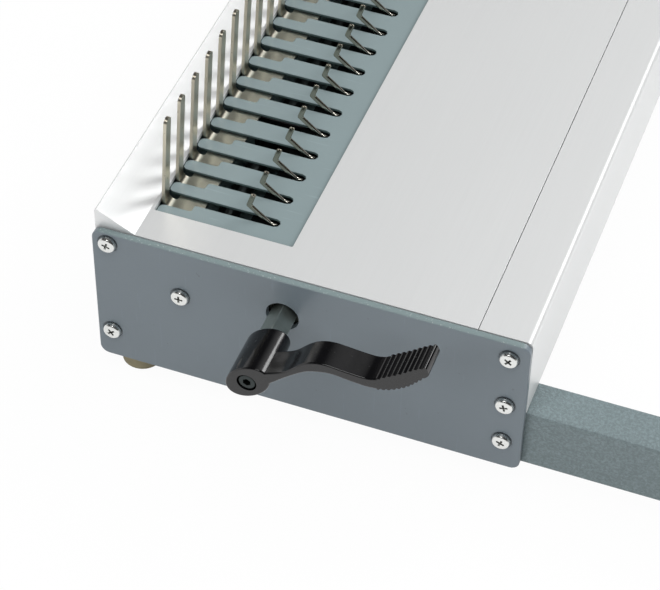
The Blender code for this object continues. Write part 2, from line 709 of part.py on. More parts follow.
def finger_comb(carrier):
    """Fingers and strip from one sheet: the strip goes forward, under the slotted plate."""
    bm = bmesh.new()
    root = -STRIP_TOP_DROP
    start = HOOK_STATIONS[0] - STRIP_OVERHANG
    end = HOOK_STATIONS[-1] + STRIP_OVERHANG

    def vertex(point):
        lean = math.tan(FINGER_LEAN) * max(0, point[1] - root)
        return bm.verts.new((FINGER_FRONT + lean, point[0], point[1]))

    faces = []
    edge = [vertex((start, root))]
    for station in HOOK_STATIONS:
        ring = [vertex(point) for point in finger_outline(station)]
        faces.append(bm.faces.new(ring))
        edge += [ring[0], ring[-1]]
    edge.append(vertex((end, root)))
    lower = [vertex((end, -STRIP_UNDER_DROP)), vertex((start, -STRIP_UNDER_DROP))]
    band = bm.faces.new(edge + lower)
    grown = bmesh.ops.extrude_face_region(bm, geom=faces + [band])
    bmesh.ops.translate(bm, verts=moved_vertices(grown), vec=(-FINGER_THICK, 0, 0))
    grown = bmesh.ops.extrude_face_region(bm, geom=[band, *band.edges])
    bmesh.ops.translate(bm, verts=moved_vertices(grown), vec=(STRIP_FRONT - FINGER_FRONT, 0, 0))
    material = finish("finger_comb_nickel", NICKEL, 0.3, 1.0)
    add("finger_comb", finish_mesh(bm, "finger_comb", material), carrier)


# Hooks and carriage

def hook_outline():
    """A hook in (x, z): tang, leaning shank, round elbow and upper arm with a square tip."""
    half = HOOK_WIDTH / 2
    shank = Vector((SHANK_X, -SHANK_DROP))
    elbow = Vector((ELBOW_X, ELBOW_RISE))
    tip = Vector((TIP_X, TIP_RISE))
    lower = (elbow - shank).normalized()
    upper = (tip - elbow).normalized()
    out_lower = Vector((-lower.y, lower.x))
    out_upper = Vector((-upper.y, upper.x))
    start = math.degrees(math.atan2(out_lower.y, out_lower.x)) % 360
    end = math.degrees(math.atan2(out_upper.y, out_upper.x)) % 360
    inner = elbow - (out_lower + out_upper) * half / (1 + out_lower.dot(out_upper))
    tang_front = TANG_REAR + TANG_WIDTH
    bottom = -BAR_TOP_DROP - TANG_SEAT + GAP
    low_meet = shank + out_lower * half
    slope = lower.y / lower.x
    at_rear = low_meet.y + slope * (TANG_REAR - low_meet.x)
    top_meet = shank - out_lower * half
    at_shoulder = top_meet.x + (-TANG_TOP_DROP - top_meet.y) / slope
    outline = [(TANG_REAR, bottom), (TANG_REAR, at_rear)]
    outline += arc(elbow, half, start, end, 4)
    outline += [tuple(tip + out_upper * half), tuple(tip - out_upper * half), tuple(inner)]
    outline += [(at_shoulder, -TANG_TOP_DROP), (tang_front, -TANG_TOP_DROP), (tang_front, bottom)]
    return outline


def hooks(carrier):
    """One hook for each ring, sharing one mesh."""
    bm = bmesh.new()
    prism_y(bm, hook_outline(), -HOOK_THICK / 2, HOOK_THICK / 2)
    mesh = finish_mesh(bm, "hook", finish("hook_nickel", NICKEL, 0.25, 1.0))
    for i, station in enumerate(HOOK_STATIONS):
        add(f"hook_{i + 1:02d}", mesh, carrier, (0, station, 0))


def rack_tooth_stations():
    """The rack's tooth centres: one stands over the shaft, the rest follow as it travels."""
    reach = math.ceil((TRAVEL + MODULE * 2) / CIRCULAR_PITCH)
    return [SHAFT_X + CIRCULAR_PITCH * i for i in range(-1, reach + 1)]


def rack_outline():
    """A rack arm in (x, z), its straight-sided teeth pointing down."""
    stations = rack_tooth_stations()
    half = (CIRCULAR_PITCH - BACKLASH) / 4
    slope = math.tan(PRESSURE_ANGLE)
    root = -PITCH_LINE_DROP + ROOT_SHARE * MODULE
    tip = -PITCH_LINE_DROP - MODULE
    wide = half + slope * ROOT_SHARE * MODULE
    narrow = half - slope * MODULE
    outline = [(BAR_FRONT - RACK_LAP, -RACK_TOP_DROP), (BAR_FRONT - RACK_LAP, root)]
    for x in stations:
        outline += [(x - wide, root), (x - narrow, tip), (x + narrow, tip), (x + wide, root)]
    end = stations[-1] + CIRCULAR_PITCH / 2
    outline += [(end, root), (end, -RACK_TOP_DROP)]
    return outline


def rack_spans():
    """Where the two racks lie along Y."""
    left = PINION_START + GAP
    right = BODY_LENGTH - left - PINION_WIDTH
    return ((left, left + PINION_WIDTH), (right, right + PINION_WIDTH))


def hook_carriage(carrier):
    """The bar that seats the hooks, joined to a rack at each end."""
    bm = bmesh.new()
    block(bm, (BAR_REAR, BAR_START, -BAR_UNDER_DROP),
          (BAR_FRONT, BODY_LENGTH - BAR_START, -BAR_TOP_DROP))
    material = finish("hook_carriage_oxide", BLACK_OXIDE, 0.45, 0.9)
    carriage = add("hook_carriage", finish_mesh(bm, "hook_carriage", material), carrier)
    racks = bmesh.new()
    for start, end in rack_spans():
        prism_y(racks, rack_outline(), start, end)
    cut(carriage, racks, "rack_arms", "UNION")
    seats = bmesh.new()
    half = HOOK_THICK / 2 + GAP
    for station in HOOK_STATIONS:
        block(seats, (TANG_REAR - GAP, station - half, -BAR_TOP_DROP - TANG_SEAT),
              (TANG_REAR + TANG_WIDTH + GAP, station + half, 0))
    cut(carriage, seats, "tang_seats")


def slide_block(carrier):
    """The block on the tie bar that the carriage slides over."""
    station = HOOK_STATIONS[SLIDE_RING]
    top = -BAR_UNDER_DROP - GAP
    bottom = -PAN_TOP_DROP + GAP
    outline = rounded_box((SLIDE_REAR, bottom), (BAR_FRONT, top), SLIDE_ROUND)
    bm = bmesh.new()
    prism_y(bm, outline, station - SLIDE_WIDTH / 2, station + SLIDE_WIDTH / 2)
    material = finish("slide_block_nylon", NYLON_BLACK, 0.5)
    piece = add("slide_block", finish_mesh(bm, "slide_block", material), carrier)
    hole = bmesh.new()
    rod(hole, TIE_RADIUS + GAP, station - SLIDE_WIDTH, station + SLIDE_WIDTH, (TIE_X, -TIE_DROP), 20)
    cut(piece, hole, "slide_block_hole")


# Drive

def bearing_block(name, carrier, start):
    """A moulded block from the pan up to the deck, bored for the pinion's hub."""
    bottom = -PAN_TOP_DROP + GAP
    top = -DECK_THICK - GAP
    half = BLOCK_WIDTH / 2
    top_half = BLOCK_TOP_WIDTH / 2
    outline = [
        (SHAFT_X - half, bottom),
        (SHAFT_X + half, bottom),
        (SHAFT_X + half, bottom + BLOCK_SHOULDER - BLOCK_ROUND),
        (SHAFT_X + half - BLOCK_ROUND, bottom + BLOCK_SHOULDER),
        (SHAFT_X + top_half, top - BLOCK_ROUND),
        (SHAFT_X + top_half - BLOCK_ROUND, top),
        (SHAFT_X - top_half + BLOCK_ROUND, top),
        (SHAFT_X - top_half, top - BLOCK_ROUND),
        (SHAFT_X - half + BLOCK_ROUND, bottom + BLOCK_SHOULDER),
        (SHAFT_X - half, bottom + BLOCK_SHOULDER - BLOCK_ROUND),
    ]
    bm = bmesh.new()
    prism_y(bm, outline, start, start + BLOCK_THICK)
    piece = add(name, finish_mesh(bm, name, finish(name + "_nylon", NYLON_WHITE, 0.5)), carrier)
    bore = bmesh.new()
    rod(bore, HUB_RADIUS + GAP, start - OVERRUN, start + BLOCK_THICK + OVERRUN,
        (SHAFT_X, -SHAFT_DROP), 32)
    cut(piece, bore, name + "_bore")


def square(side):
    """The shaft's square section about its axis, turned as it stands at rest."""
    corner = side / math.sqrt(2)
    turn = math.degrees(SHAFT_TURN) + 45
    return arc((0, 0), corner, turn, turn + 360, 4)[:-1]


def drive_shaft(carrier):
    """The square shaft, from inside the lever's hub to the right bearing, tapped at the left."""
    start = -LEVER_STANDOFF - SHAFT_SEAT
    end = INSIDE_RIGHT - SHAFT_END_GAP
    bm = bmesh.new()
    prism_y(bm, square(SHAFT_SIDE), start, end)
    material = finish("drive_shaft_zinc", STEEL, 0.35, 0.9)
    shaft = add("drive_shaft", finish_mesh(bm, "drive_shaft", material), carrier)
    hole = bmesh.new()
    rod(hole, LEVER_SCREW_RADIUS + GAP, start - OVERRUN, start + LEVER_SCREW_LENGTH, (0, 0), 16)
    cut(shaft, hole, "drive_shaft_hole")


def involute(radius):
    """The involute angle of a flank point at a radius."""
    angle = math.acos(min(1.0, BASE_RADIUS / radius))
    return math.tan(angle) - angle


def pinion_outline(flank_steps=2):
    """Involute teeth about the axis, with a tooth gap at the top to take a rack tooth."""
    half_pitch = (CIRCULAR_PITCH - BACKLASH) / 4 / PITCH_RADIUS
    widest = half_pitch + involute(PITCH_RADIUS)
    radii = [BASE_RADIUS + (TIP_RADIUS - BASE_RADIUS) * i / flank_steps
             for i in range(flank_steps + 1)]
    flank = [(ROOT_RADIUS, widest)] + [(r, widest - involute(r)) for r in radii]
    outline = []
    for tooth in range(PINION_TEETH):
        middle = math.pi / 2 + math.tau * (tooth + 0.5) / PINION_TEETH
        side = [(r, middle - angle) for r, angle in flank]
        side += [(r, middle + angle) for r, angle in reversed(flank)]
        outline += [(r * math.cos(a), r * math.sin(a)) for r, a in side]
    return outline


def pinion(name, carrier, teeth_start, hub_start, hub_end):
    """A pinion whose long hub turns in the bearing block, on the square shaft."""
    bm = bmesh.new()
    prism_y(bm, pinion_outline(), teeth_start, teeth_start + PINION_WIDTH)
    material = finish(name + "_steel", STEEL, 0.35, 0.9)
    piece = add(name, finish_mesh(bm, name, material, 25), carrier)
    hub = bmesh.new()
    rod(hub, HUB_RADIUS, hub_start, hub_end, (0, 0), 32)
    cut(piece, hub, name + "_hub", "UNION")
    bore = bmesh.new()
    prism_y(bore, square(SHAFT_SIDE + 2 * GAP), hub_start - OVERRUN - PINION_WIDTH,
            hub_end + OVERRUN + PINION_WIDTH)
    cut(piece, bore, name + "_bore")


def serrated(shares, teeth, depth):
    """Saw teeth along the pad: a smooth curve whose every second point is pushed inwards."""
    curve = smooth([(ARM_REACH * x, ARM_RISE * z) for x, z in shares], 8)
    lengths = [0.0]
    for a, b in zip(curve, curve[1:]):
        lengths.append(lengths[-1] + math.dist(a, b))
    points = []
    for i in range(2 * teeth + 1):
        want = lengths[-1] * i / (2 * teeth)
        k = max(j for j in range(len(curve) - 1) if lengths[j] <= want)
        a = Vector(curve[k])
        b = Vector(curve[k + 1])
        point = a + (b - a) * (want - lengths[k]) / (lengths[k + 1] - lengths[k])
        along = (b - a).normalized()
        if i % 2:
            point += Vector((along.y, -along.x)) * depth
        points.append(tuple(point))
    return points


def hub_outline(sides):
    """The lever's oval hub in (x, z), its long axis square to the shaft, from its lower side round."""
    along = Vector((math.cos(SHAFT_TURN), math.sin(SHAFT_TURN)))
    across = Vector((-along.y, along.x))
    points = []
    for i in range(sides):
        turn = math.tau * i / sides - math.pi / 2
        point = along * (LEVER_HUB_SHIFT + LEVER_HUB_HALF_LENGTH * math.cos(turn))
        points.append(tuple(point + across * LEVER_HUB_HALF_WIDTH * math.sin(turn)))
    return points


def arm_outline(top_root, under_root):
    """The arm in (x, z), from its root on the hub's top over the serrated pad to its lower root."""
    top = smooth([top_root] + [(ARM_REACH * x, ARM_RISE * z) for x, z in ARM_TOP_SHARES], 3)
    under = smooth([(ARM_REACH * x, ARM_RISE * z) for x, z in ARM_UNDER_SHARES] + [under_root], 3)
    pad_top = serrated(PAD_TOP_SHARES, TOP_TEETH, TOP_TOOTH_DEPTH)
    pad_under = serrated(PAD_UNDER_SHARES, UNDER_TEETH, UNDER_TOOTH_DEPTH)
    nose = [(ARM_REACH * x, ARM_RISE * z) for x, z in NOSE_SHARES]
    return top[1:] + pad_top[1:] + nose + pad_under + under[1:-1]


def lever(carrier, hub_sides=40, under_side=6, top_side=11):
    """The crank: an oval hub and a curved arm from one casting, with a serrated thumb pad."""
    ring = hub_outline(hub_sides)
    bm = bmesh.new()
    outer = -LEVER_OUTER
    hub = [bm.verts.new((x, outer, z)) for x, z in ring]
    arm = [bm.verts.new((x, outer, z)) for x, z in arm_outline(ring[top_side], ring[under_side])]
    faces = [bm.faces.new(hub), bm.faces.new(hub[under_side:top_side + 1] + arm)]
    grown = bmesh.ops.extrude_face_region(bm, geom=faces)
    bmesh.ops.translate(bm, verts=moved_vertices(grown), vec=(0, ARM_WIDTH, 0))
    inner = [item for item in grown["geom"] if isinstance(item, bmesh.types.BMFace)]
    hub_inner = min(inner, key=lambda face: face.calc_center_median().x)
    grown = bmesh.ops.extrude_face_region(bm, geom=[hub_inner, *hub_inner.edges])
    bmesh.ops.translate(bm, verts=moved_vertices(grown), vec=(0, LEVER_HUB_DEPTH - ARM_WIDTH, 0))
    bmesh.ops.recalc_face_normals(bm, faces=bm.faces)
    pad_start = ARM_REACH * PAD_TOP_SHARES[0][0] - WELD

    def plain(edge):
        across = abs(edge.verts[0].co.y - edge.verts[1].co.y) > WELD
        in_pad = all(v.co.x > pad_start for v in edge.verts)
        return across or in_pad or not edge.is_convex

    bevel_sharp(bm, LEVER_EDGE, 2, plain)
    material = finish("lever_enamel", LEVER_BLACK, 0.25)
    piece = add("lever", finish_mesh(bm, "lever", material, 28), carrier)
    bore = bmesh.new()
    prism_y(bore, square(SHAFT_SIDE + 2 * GAP), -LEVER_STANDOFF - SHAFT_SEAT - GAP,
            -LEVER_STANDOFF + OVERRUN)
    cut(piece, bore, "lever_square_bore")
    counterbore = bmesh.new()
    rod(counterbore, LEVER_BORE_RADIUS, outer - OVERRUN, outer + LEVER_BORE_DEPTH, (0, 0), 28)
    cut(piece, counterbore, "lever_counterbore")
    hole = bmesh.new()
    rod(hole, LEVER_SCREW_RADIUS + GAP, outer, -LEVER_STANDOFF - SHAFT_SEAT + OVERRUN, (0, 0), 16)
    cut(piece, hole, "lever_screw_hole")


def lever_screw(carrier):
    """The socket head screw that holds the lever on the shaft."""
    seat = -LEVER_OUTER + LEVER_BORE_DEPTH - GAP
    head = LEVER_BORE_DEPTH - 2 * GAP
    profile = [
        (0, seat - head),
        (LEVER_SCREW_HEAD - GAP, seat - head),
        (LEVER_SCREW_HEAD, seat - head + GAP),
        (LEVER_SCREW_HEAD, seat),
        (LEVER_SCREW_RADIUS, seat),
        (LEVER_SCREW_RADIUS, seat + LEVER_SCREW_LENGTH),
        (0, seat + LEVER_SCREW_LENGTH),
    ]
    bm = bmesh.new()
    turned(bm, profile, "Y", 24)
    material = finish("lever_screw_oxide", BLACK_OXIDE, 0.4, 0.9)
    screw = add("lever_screw", finish_mesh(bm, "lever_screw", material), carrier)
    socket = bmesh.new()
    rod(socket, HEX_RADIUS, seat - head - OVERRUN, seat - head + HEX_DEPTH, (0, 0), 6)
    cut(screw, socket, "lever_screw_socket")


def clear_scene():
    """Remove whatever objects the scene holds."""
    for item in list(bpy.data.objects):
        bpy.data.objects.remove(item, do_unlink=True)


def build():
    """Make every piece on the body that carries it."""
    clear_scene()
    chassis = datum("chassis_datum", -ORIGIN)
    drive = datum("shaft_axis", SHAFT_AXIS - ORIGIN)
    slide = datum("slide_datum", -ORIGIN)
    end_plate("left_end_plate", chassis, 0, 1, True)
    end_plate("right_end_plate", chassis, BODY_LENGTH, -1, False)
    deck_cover(chassis)
    front_rail(chassis)
    bottom_pan(chassis)
    tie_bar(chassis)
    plate_screws(chassis)
    legs = (("left", INSIDE_LEFT), ("right", INSIDE_RIGHT - TUBE_WIDTH))
    for side, near in legs:
        leg_tube(f"{side}_leg_tube", chassis, near)
        leg_cap(f"{side}_rear_leg_cap", chassis, near, TUBE_REAR, -1, REAR_CAP_PLUG)
        leg_cap(f"{side}_front_leg_cap", chassis, near, TUBE_FRONT, 1, CAP_PLUG)
    rubber_feet(chassis, legs)
    slotted_plate(chassis)
    finger_comb(chassis)
    slide_block(chassis)
    block_left = INSIDE_LEFT + GAP
    bearing_block("left_bearing_block", chassis, block_left)
    bearing_block("right_bearing_block", chassis, BODY_LENGTH - block_left - BLOCK_THICK)
    hook_carriage(slide)
    hooks(slide)
    drive_shaft(drive)
    (left_start, left_end), (right_start, right_end) = rack_spans()
    pinion("left_pinion", drive, left_start, block_left, left_end - GAP)
    pinion("right_pinion", drive, right_start, right_start + GAP, BODY_LENGTH - block_left)
    lever(drive)
    lever_screw(drive)


build()
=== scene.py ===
"""Looks of the comb closer: camera, studio, finishes and the finely shaped pieces.

Metres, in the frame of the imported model: X to the front, Y along the fingers, Z up.
"""

import json
import math

import bmesh
import bpy
from mathutils import Matrix, Vector


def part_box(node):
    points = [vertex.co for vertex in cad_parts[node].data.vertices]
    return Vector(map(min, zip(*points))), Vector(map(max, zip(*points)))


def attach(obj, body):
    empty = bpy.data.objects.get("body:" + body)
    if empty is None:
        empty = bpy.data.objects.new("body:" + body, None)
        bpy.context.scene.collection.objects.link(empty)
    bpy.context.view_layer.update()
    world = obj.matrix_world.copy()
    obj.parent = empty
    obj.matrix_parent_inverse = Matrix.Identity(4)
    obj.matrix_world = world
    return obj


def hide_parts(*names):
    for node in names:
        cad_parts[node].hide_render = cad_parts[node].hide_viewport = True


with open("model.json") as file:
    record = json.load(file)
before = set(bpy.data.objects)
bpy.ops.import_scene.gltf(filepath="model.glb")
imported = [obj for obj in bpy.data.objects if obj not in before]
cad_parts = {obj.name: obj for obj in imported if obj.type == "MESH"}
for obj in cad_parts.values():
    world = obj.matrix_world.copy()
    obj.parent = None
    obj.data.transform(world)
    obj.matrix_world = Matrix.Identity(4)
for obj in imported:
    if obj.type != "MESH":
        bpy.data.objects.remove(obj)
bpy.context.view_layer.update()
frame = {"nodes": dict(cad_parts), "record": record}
NODES = frame["nodes"]
BODY_OF = {node: body for body, members in frame["record"]["behaviour"]["bodies"].items()
           for node in members}
SLOT_OF = {entry["node"]: entry["material_slot"] for entry in frame["record"]["subparts"]}

# The maker's datum, the rings' stations along Y and the lever's axis
DATUM = Vector((0.14575, 0.15715, -0.0803))
FIRST_RING = 0.03215
RING_PITCH = 0.0142875
RINGS = [FIRST_RING + RING_PITCH * i for i in range(21)]
HOOKS = [f"hook_{i + 1:02d}" for i in range(21)]
SCREW_PLACES = ("rear_top", "rear_leg", "tie", "front_top", "front_low", "front_leg")
PLATE_SCREWS = [f"{side}_{place}_screw" for side in ("left", "right") for place in SCREW_PLACES]
SHAFT = Vector((0.0816, -0.038, -0.0194)) - DATUM

# Grain sizes that the enamels share
CLOUD = 0.045
PEEL = 0.0022
DUST = 0.0009

# Coordinates closer than SAME are equal. An edge lies flat where it runs less than LEVEL along Y,
# and goes through a stamping where it runs more than THROUGH.
SAME = 0.00001
LEVEL = 0.0001
THROUGH = 0.001

# The hooks are 1.3 mm thick, and the rounding of their sides stays under half of that
HOOK_ROUND = 0.0006

# The lever: its turn in degrees, widths along the shaft, depth of teeth, and the arm's reach and rise
LEVER_TURN = 41.5
ARM_WIDTH = 0.0128
HUB_WIDTH = 0.0230
SERRATION = 0.0006
REACH = 0.0725
RISE = 0.0357

# The arm's outline in shares of its reach and rise. The pad starts at PAD_START.
PAD_START = 0.719
ARM_TOP = [(0.210, 0.333), (0.296, 0.506), (0.360, 0.594), (0.439, 0.630), (0.573, 0.608),
           (0.664, 0.600), (PAD_START, 0.630)]
PAD_TOP = [(PAD_START, 0.630), (0.760, 0.696), (0.841, 0.812), (0.920, 0.940), (0.972, 1.006)]
NOSE = [(0.979, 1.012), (0.991, 0.988), (1.002, 0.931), (0.996, 0.893)]
PAD_UNDER = [(0.985, 0.868), (0.945, 0.768), (0.885, 0.639), (0.804, 0.533), (0.738, 0.485)]
ARM_UNDER = [(0.738, 0.485), (0.666, 0.471), (0.574, 0.485), (0.467, 0.507), (0.360, 0.456),
             (0.296, 0.379), (0.210, 0.233)]

# Camera, solved from the ring pitch in the photograph
EYE = Vector((0.170946, -0.758695, 0.732575))
RIGHT = Vector((0.9370777, 0.34889254, 0.01262426))
DOWN = Vector((0.25755989, -0.66645493, -0.69964329))
AHEAD = Vector((-0.23568683, 0.65887163, -0.71438078))
FOCAL_PIXELS = 2356.445
IMAGE_WIDTH = 660
SENSOR = 36.0


def make_camera():
    """The photograph's viewpoint."""
    data = bpy.data.cameras.new("camera")
    data.sensor_fit = "HORIZONTAL"
    data.sensor_width = SENSOR
    data.lens = FOCAL_PIXELS * SENSOR / IMAGE_WIDTH
    camera = bpy.data.objects.new("camera", data)
    turned = Matrix((RIGHT, -DOWN, -AHEAD)).transposed().to_4x4()
    camera.matrix_world = Matrix.Translation(EYE) @ turned
    bpy.context.scene.collection.objects.link(camera)
    bpy.context.scene.camera = camera


# Shader sums as Python expressions

class Value:
    """A shader socket. Python's operators on it add Math nodes."""

    def __init__(self, tree, socket):
        self.tree = tree
        self.socket = socket

    def math(self, operation, other, first=False):
        """A Math node on this value and another, which may go first."""
        pair = (other, self) if first else (self, other)
        return new_node(self.tree, "ShaderNodeMath", {"operation": operation}, dict(enumerate(pair)))

    def __add__(self, other):
        return self.math("ADD", other)

    def __radd__(self, other):
        return self.math("ADD", other)

    def __sub__(self, other):
        return self.math("SUBTRACT", other)

    def __rsub__(self, other):
        return self.math("SUBTRACT", other, first=True)

    def __mul__(self, other):
        return self.math("MULTIPLY", other)

    def __rmul__(self, other):
        return self.math("MULTIPLY", other)

    def __pow__(self, other):
        return self.math("POWER", other)

    def ramp(self, low, high):
        """0 at low and 1 at high, held outside."""
        return new_node(self.tree, "ShaderNodeMapRange", None,
                        {"From Min": low, "From Max": high, "Value": self}, "Result")


def new_node(tree, kind, settings=None, values=None, output=0):
    """Any node: its settings first, then the values or links of its sockets."""
    node = tree.nodes.new(kind)
    for key, value in (settings or {}).items():
        setattr(node, key, value)
    for key, value in (values or {}).items():
        if isinstance(value, Value):
            tree.links.new(value.socket, node.inputs[key])
        else:
            node.inputs[key].default_value = value
    return Value(tree, node.outputs[output])


class Finish:
    """A material made round one Principled shader."""

    def __init__(self, name, color, roughness, metallic=0.0, **plain):
        self.material = bpy.data.materials.new(name)
        self.material.use_nodes = True
        self.tree = self.material.node_tree
        self.shader = self.tree.nodes["Principled BSDF"]
        self.shader.inputs["Base Color"].default_value = (*color, 1.0)
        self.shader.inputs["Roughness"].default_value = roughness
        self.shader.inputs["Metallic"].default_value = metallic
        for socket, value in plain.items():
            self.shader.inputs[socket.replace("_", " ")].default_value = value

    def node(self, kind, settings=None, values=None, output=0):
        """A node in this finish."""
        return new_node(self.tree, kind, settings, values, output)

    def place(self, stretch):
        """Object coordinates, stretched for a directional pattern."""
        base = self.node("ShaderNodeTexCoord", output="Object")
        return self.node("ShaderNodeMapping", values={"Vector": base, "Scale": stretch})

    def noise(self, size, detail, roughness=0.55, stretch=(1, 1, 1), distortion=0.0):
        """Noise with grains of a given size in metres."""
        return self.node("ShaderNodeTexNoise", values={
            "Vector": self.place(stretch), "Scale": 1 / size, "Detail": detail,
            "Roughness": roughness, "Distortion": distortion})

    def spots(self, size, limit, soft, stretch=(1, 1, 1)):
        """A mask of scattered spots: 1 inside, 0 outside."""
        return 1 - self.noise(size, 2.0, 0.6, stretch).ramp(limit - soft, limit)

    def scratches(self, stretch):
        """A mask of the fine scratches of handling, drawn out along one direction."""
        return self.spots(0.0016, 0.335, 0.03, stretch)

    def axis(self, letter):
        """One object coordinate, in metres."""
        base = self.node("ShaderNodeTexCoord", output="Object")
        return self.node("ShaderNodeSeparateXYZ", values={"Vector": base}, output="XYZ".index(letter))

    def mix_color(self, share, low, high):
        """A colour between two, each a plain colour or a link."""
        low, high = (item if isinstance(item, Value) else (*item, 1.0) for item in (low, high))
        return self.node("ShaderNodeMix", {"data_type": "RGBA"}, {"Factor": share, 6: low, 7: high}, 2)

    def drive(self, socket, value):
        """Link a value that changes over the surface to a socket of the shader."""
        self.tree.links.new(value.socket, self.shader.inputs[socket])

    def bump(self, *layers):
        """Bump from layers of (height, depth in metres)."""
        normal = None
        for height, depth in layers:
            values = {"Height": height, "Distance": depth, "Strength": 1.0}
            if normal:
                values["Normal"] = normal
            normal = self.node("ShaderNodeBump", values=values)
        self.drive("Normal", normal)


def shade(color, factor):
    """A colour made lighter or darker."""
    return tuple(min(1.0, channel * factor) for channel in color)


def row(x, y, z):
    """The model's point for one in the maker's drawing, measured from the case's rear top left corner."""
    return Vector((x, y, z)) - DATUM


# Finishes

def smooth_paint(name, color, roughness):
    """Sprayed enamel on sheet steel: faint orange peel, handling marks and fine scratches."""
    paint = Finish(name, color, roughness, Coat_Weight=0.12, Coat_Roughness=0.25)
    cloud = paint.noise(CLOUD, 3.0)
    peel = paint.noise(PEEL, 2.0)
    dust = paint.noise(DUST, 2.0)
    scratch = paint.scratches((1.0, 1.0, 0.06))
    tone = paint.mix_color(cloud, shade(color, 0.95), shade(color, 1.05))
    tone = paint.mix_color(scratch * 0.22, tone, shade(color, 1.7))
    paint.drive("Base Color", tone)
    paint.drive("Roughness", cloud * 0.12 + dust * 0.10 + (roughness - 0.11) + scratch * 0.12)
    paint.bump((peel, 0.00004), (dust, 0.00001))
    return paint.material


def punched_paint(name, color):
    """The slotted plate's enamel: even on top, rougher and in painted shade on the punched slots' walls.
    """
    paint = Finish(name, color, 0.36, Coat_Weight=0.12, Coat_Roughness=0.25)
    cloud = paint.noise(CLOUD, 3.0)
    peel = paint.noise(PEEL, 2.0)
    dust = paint.noise(DUST, 2.0)
    scratch = paint.scratches((0.06, 1.0, 1.0))
    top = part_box("slotted_plate")[1][2]
    # Painted shade: the walls of the slots, below the top face, are darkened to a teal grey and made
    # rougher
    painted_wall_shade = 1 - paint.axis("Z").ramp(top - 0.00030, top - 0.00010)
    tone = paint.mix_color(cloud, shade(color, 0.96), shade(color, 1.04))
    tone = paint.mix_color(scratch * 0.18, tone, shade(color, 1.6))
    tone = paint.mix_color(painted_wall_shade * 0.9, tone, (0.060, 0.100, 0.100))
    paint.drive("Base Color", tone)
    paint.drive("Roughness", cloud * 0.10 + dust * 0.08 + scratch * 0.12 + painted_wall_shade * 0.2 + 0.26)
    paint.bump((peel, 0.00003), (dust, 0.00001))
    return paint.material


def plate_enamel(name, color):
    """The end plates' satin enamel, chipped and polished along the sawn top edge."""
    paint = Finish(name, color, 0.34, Coat_Weight=0.10, Coat_Roughness=0.2)
    cloud = paint.noise(0.050, 3.0)
    fleck = paint.noise(0.0011, 2.0, 0.6)
    peel = paint.noise(PEEL, 2.0)
    scratch = paint.scratches((1.0, 1.0, 0.06))
    pit = paint.spots(0.0030, 0.26, 0.03)
    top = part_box("left_end_plate")[1][2]
    rim = paint.axis("Z").ramp(top - 0.0005, top - 0.0001)
    chips = rim * fleck.ramp(0.60, 0.72)
    # Painted shade darkens the recess round each screw and thins out on the plate's face
    recess, shade_end = 0.0036, 0.0045
    painted_recess_shade = None
    for place in SCREW_PLACES:
        low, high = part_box(f"left_{place}_screw")
        across = paint.axis("X") - (low[0] + high[0]) / 2
        up = paint.axis("Z") - (low[2] + high[2]) / 2
        ring = 1 - ((across * across + up * up) ** 0.5).ramp(recess, shade_end)
        painted_recess_shade = ring if painted_recess_shade is None else painted_recess_shade.math("MAXIMUM", ring)
    tone = paint.mix_color(cloud, shade(color, 0.95), shade(color, 1.05))
    tone = paint.mix_color(scratch * 0.14, tone, shade(color, 1.6))
    tone = paint.mix_color(pit * 0.35, tone, shade(color, 0.5))
    tone = paint.mix_color(painted_recess_shade * 0.7, tone, shade(color, 0.2))
    tone = paint.mix_color(rim * 0.8, tone, (0.165, 0.215, 0.215))
    tone = paint.mix_color(chips * 0.5, tone, (0.50, 0.56, 0.54))
    paint.drive("Base Color", tone)
    paint.drive("Roughness", cloud * 0.10 + fleck * 0.06 + scratch * 0.12 + 0.25)
    paint.bump((peel, 0.00003), (fleck, 0.00001), (chips, 0.00010))
    return paint.material


def wrinkled_paint(name, color):
    """The legs' fine wrinkle enamel."""
    paint = Finish(name, color, 0.5)
    grain = paint.noise(0.0011, 3.0, 0.6, distortion=0.6)
    broad = paint.noise(0.030, 2.0)
    ridge = grain.ramp(0.42, 0.66)
    tone = paint.mix_color(ridge, shade(color, 0.80), shade(color, 1.14))
    tone = paint.mix_color(broad * 0.35, tone, shade(color, 0.86))
    paint.drive("Base Color", tone)
    paint.drive("Roughness", 0.58 - ridge * 0.18)
    paint.bump((grain, 0.00035))
    return paint.material


def anodised(name, color):
    """Extruded aluminium: fine die lines along the length under a clear anodised skin."""
    metal = Finish(name, color, 0.4, 0.50)
    lines = metal.noise(0.0006, 4.0, 0.7, (1.0, 0.010, 1.0))
    bands = metal.noise(0.012, 2.0, 0.5, (1.0, 0.02, 1.0))
    cloud = metal.noise(0.060, 2.0)
    grain = metal.noise(0.00035, 1.0)
    tone = metal.mix_color(lines, shade(color, 0.955), shade(color, 1.03))
    tone = metal.mix_color(bands * 0.5, tone, shade(color, 0.965))
    metal.drive("Base Color", tone)
    metal.drive("Roughness", 0.30 + lines * 0.09 + cloud * 0.08 + grain * 0.05)
    metal.bump((lines, 0.000010), (grain, 0.000006))
    return metal.material


def plated(name, color, roughness, wear):
    """Plated steel: bright, with drawn marks, dull patches and darker spots of handling."""
    metal = Finish(name, color, roughness, 1.0)
    cloud = metal.noise(0.006, 3.0)
    fine = metal.noise(0.0005, 3.0, 0.6, (1.0, 1.0, 0.08))
    spots = metal.spots(0.0028, 0.36, 0.07)
    tone = metal.mix_color(cloud, shade(color, 0.90), shade(color, 1.06))
    tone = metal.mix_color(spots * 0.5, tone, wear)
    metal.drive("Base Color", tone)
    metal.drive("Roughness", cloud * 0.08 + fine * 0.06 + spots * 0.10 + (roughness - 0.06))
    metal.bump((fine, 0.000006), (cloud, 0.00001))
    return metal.material


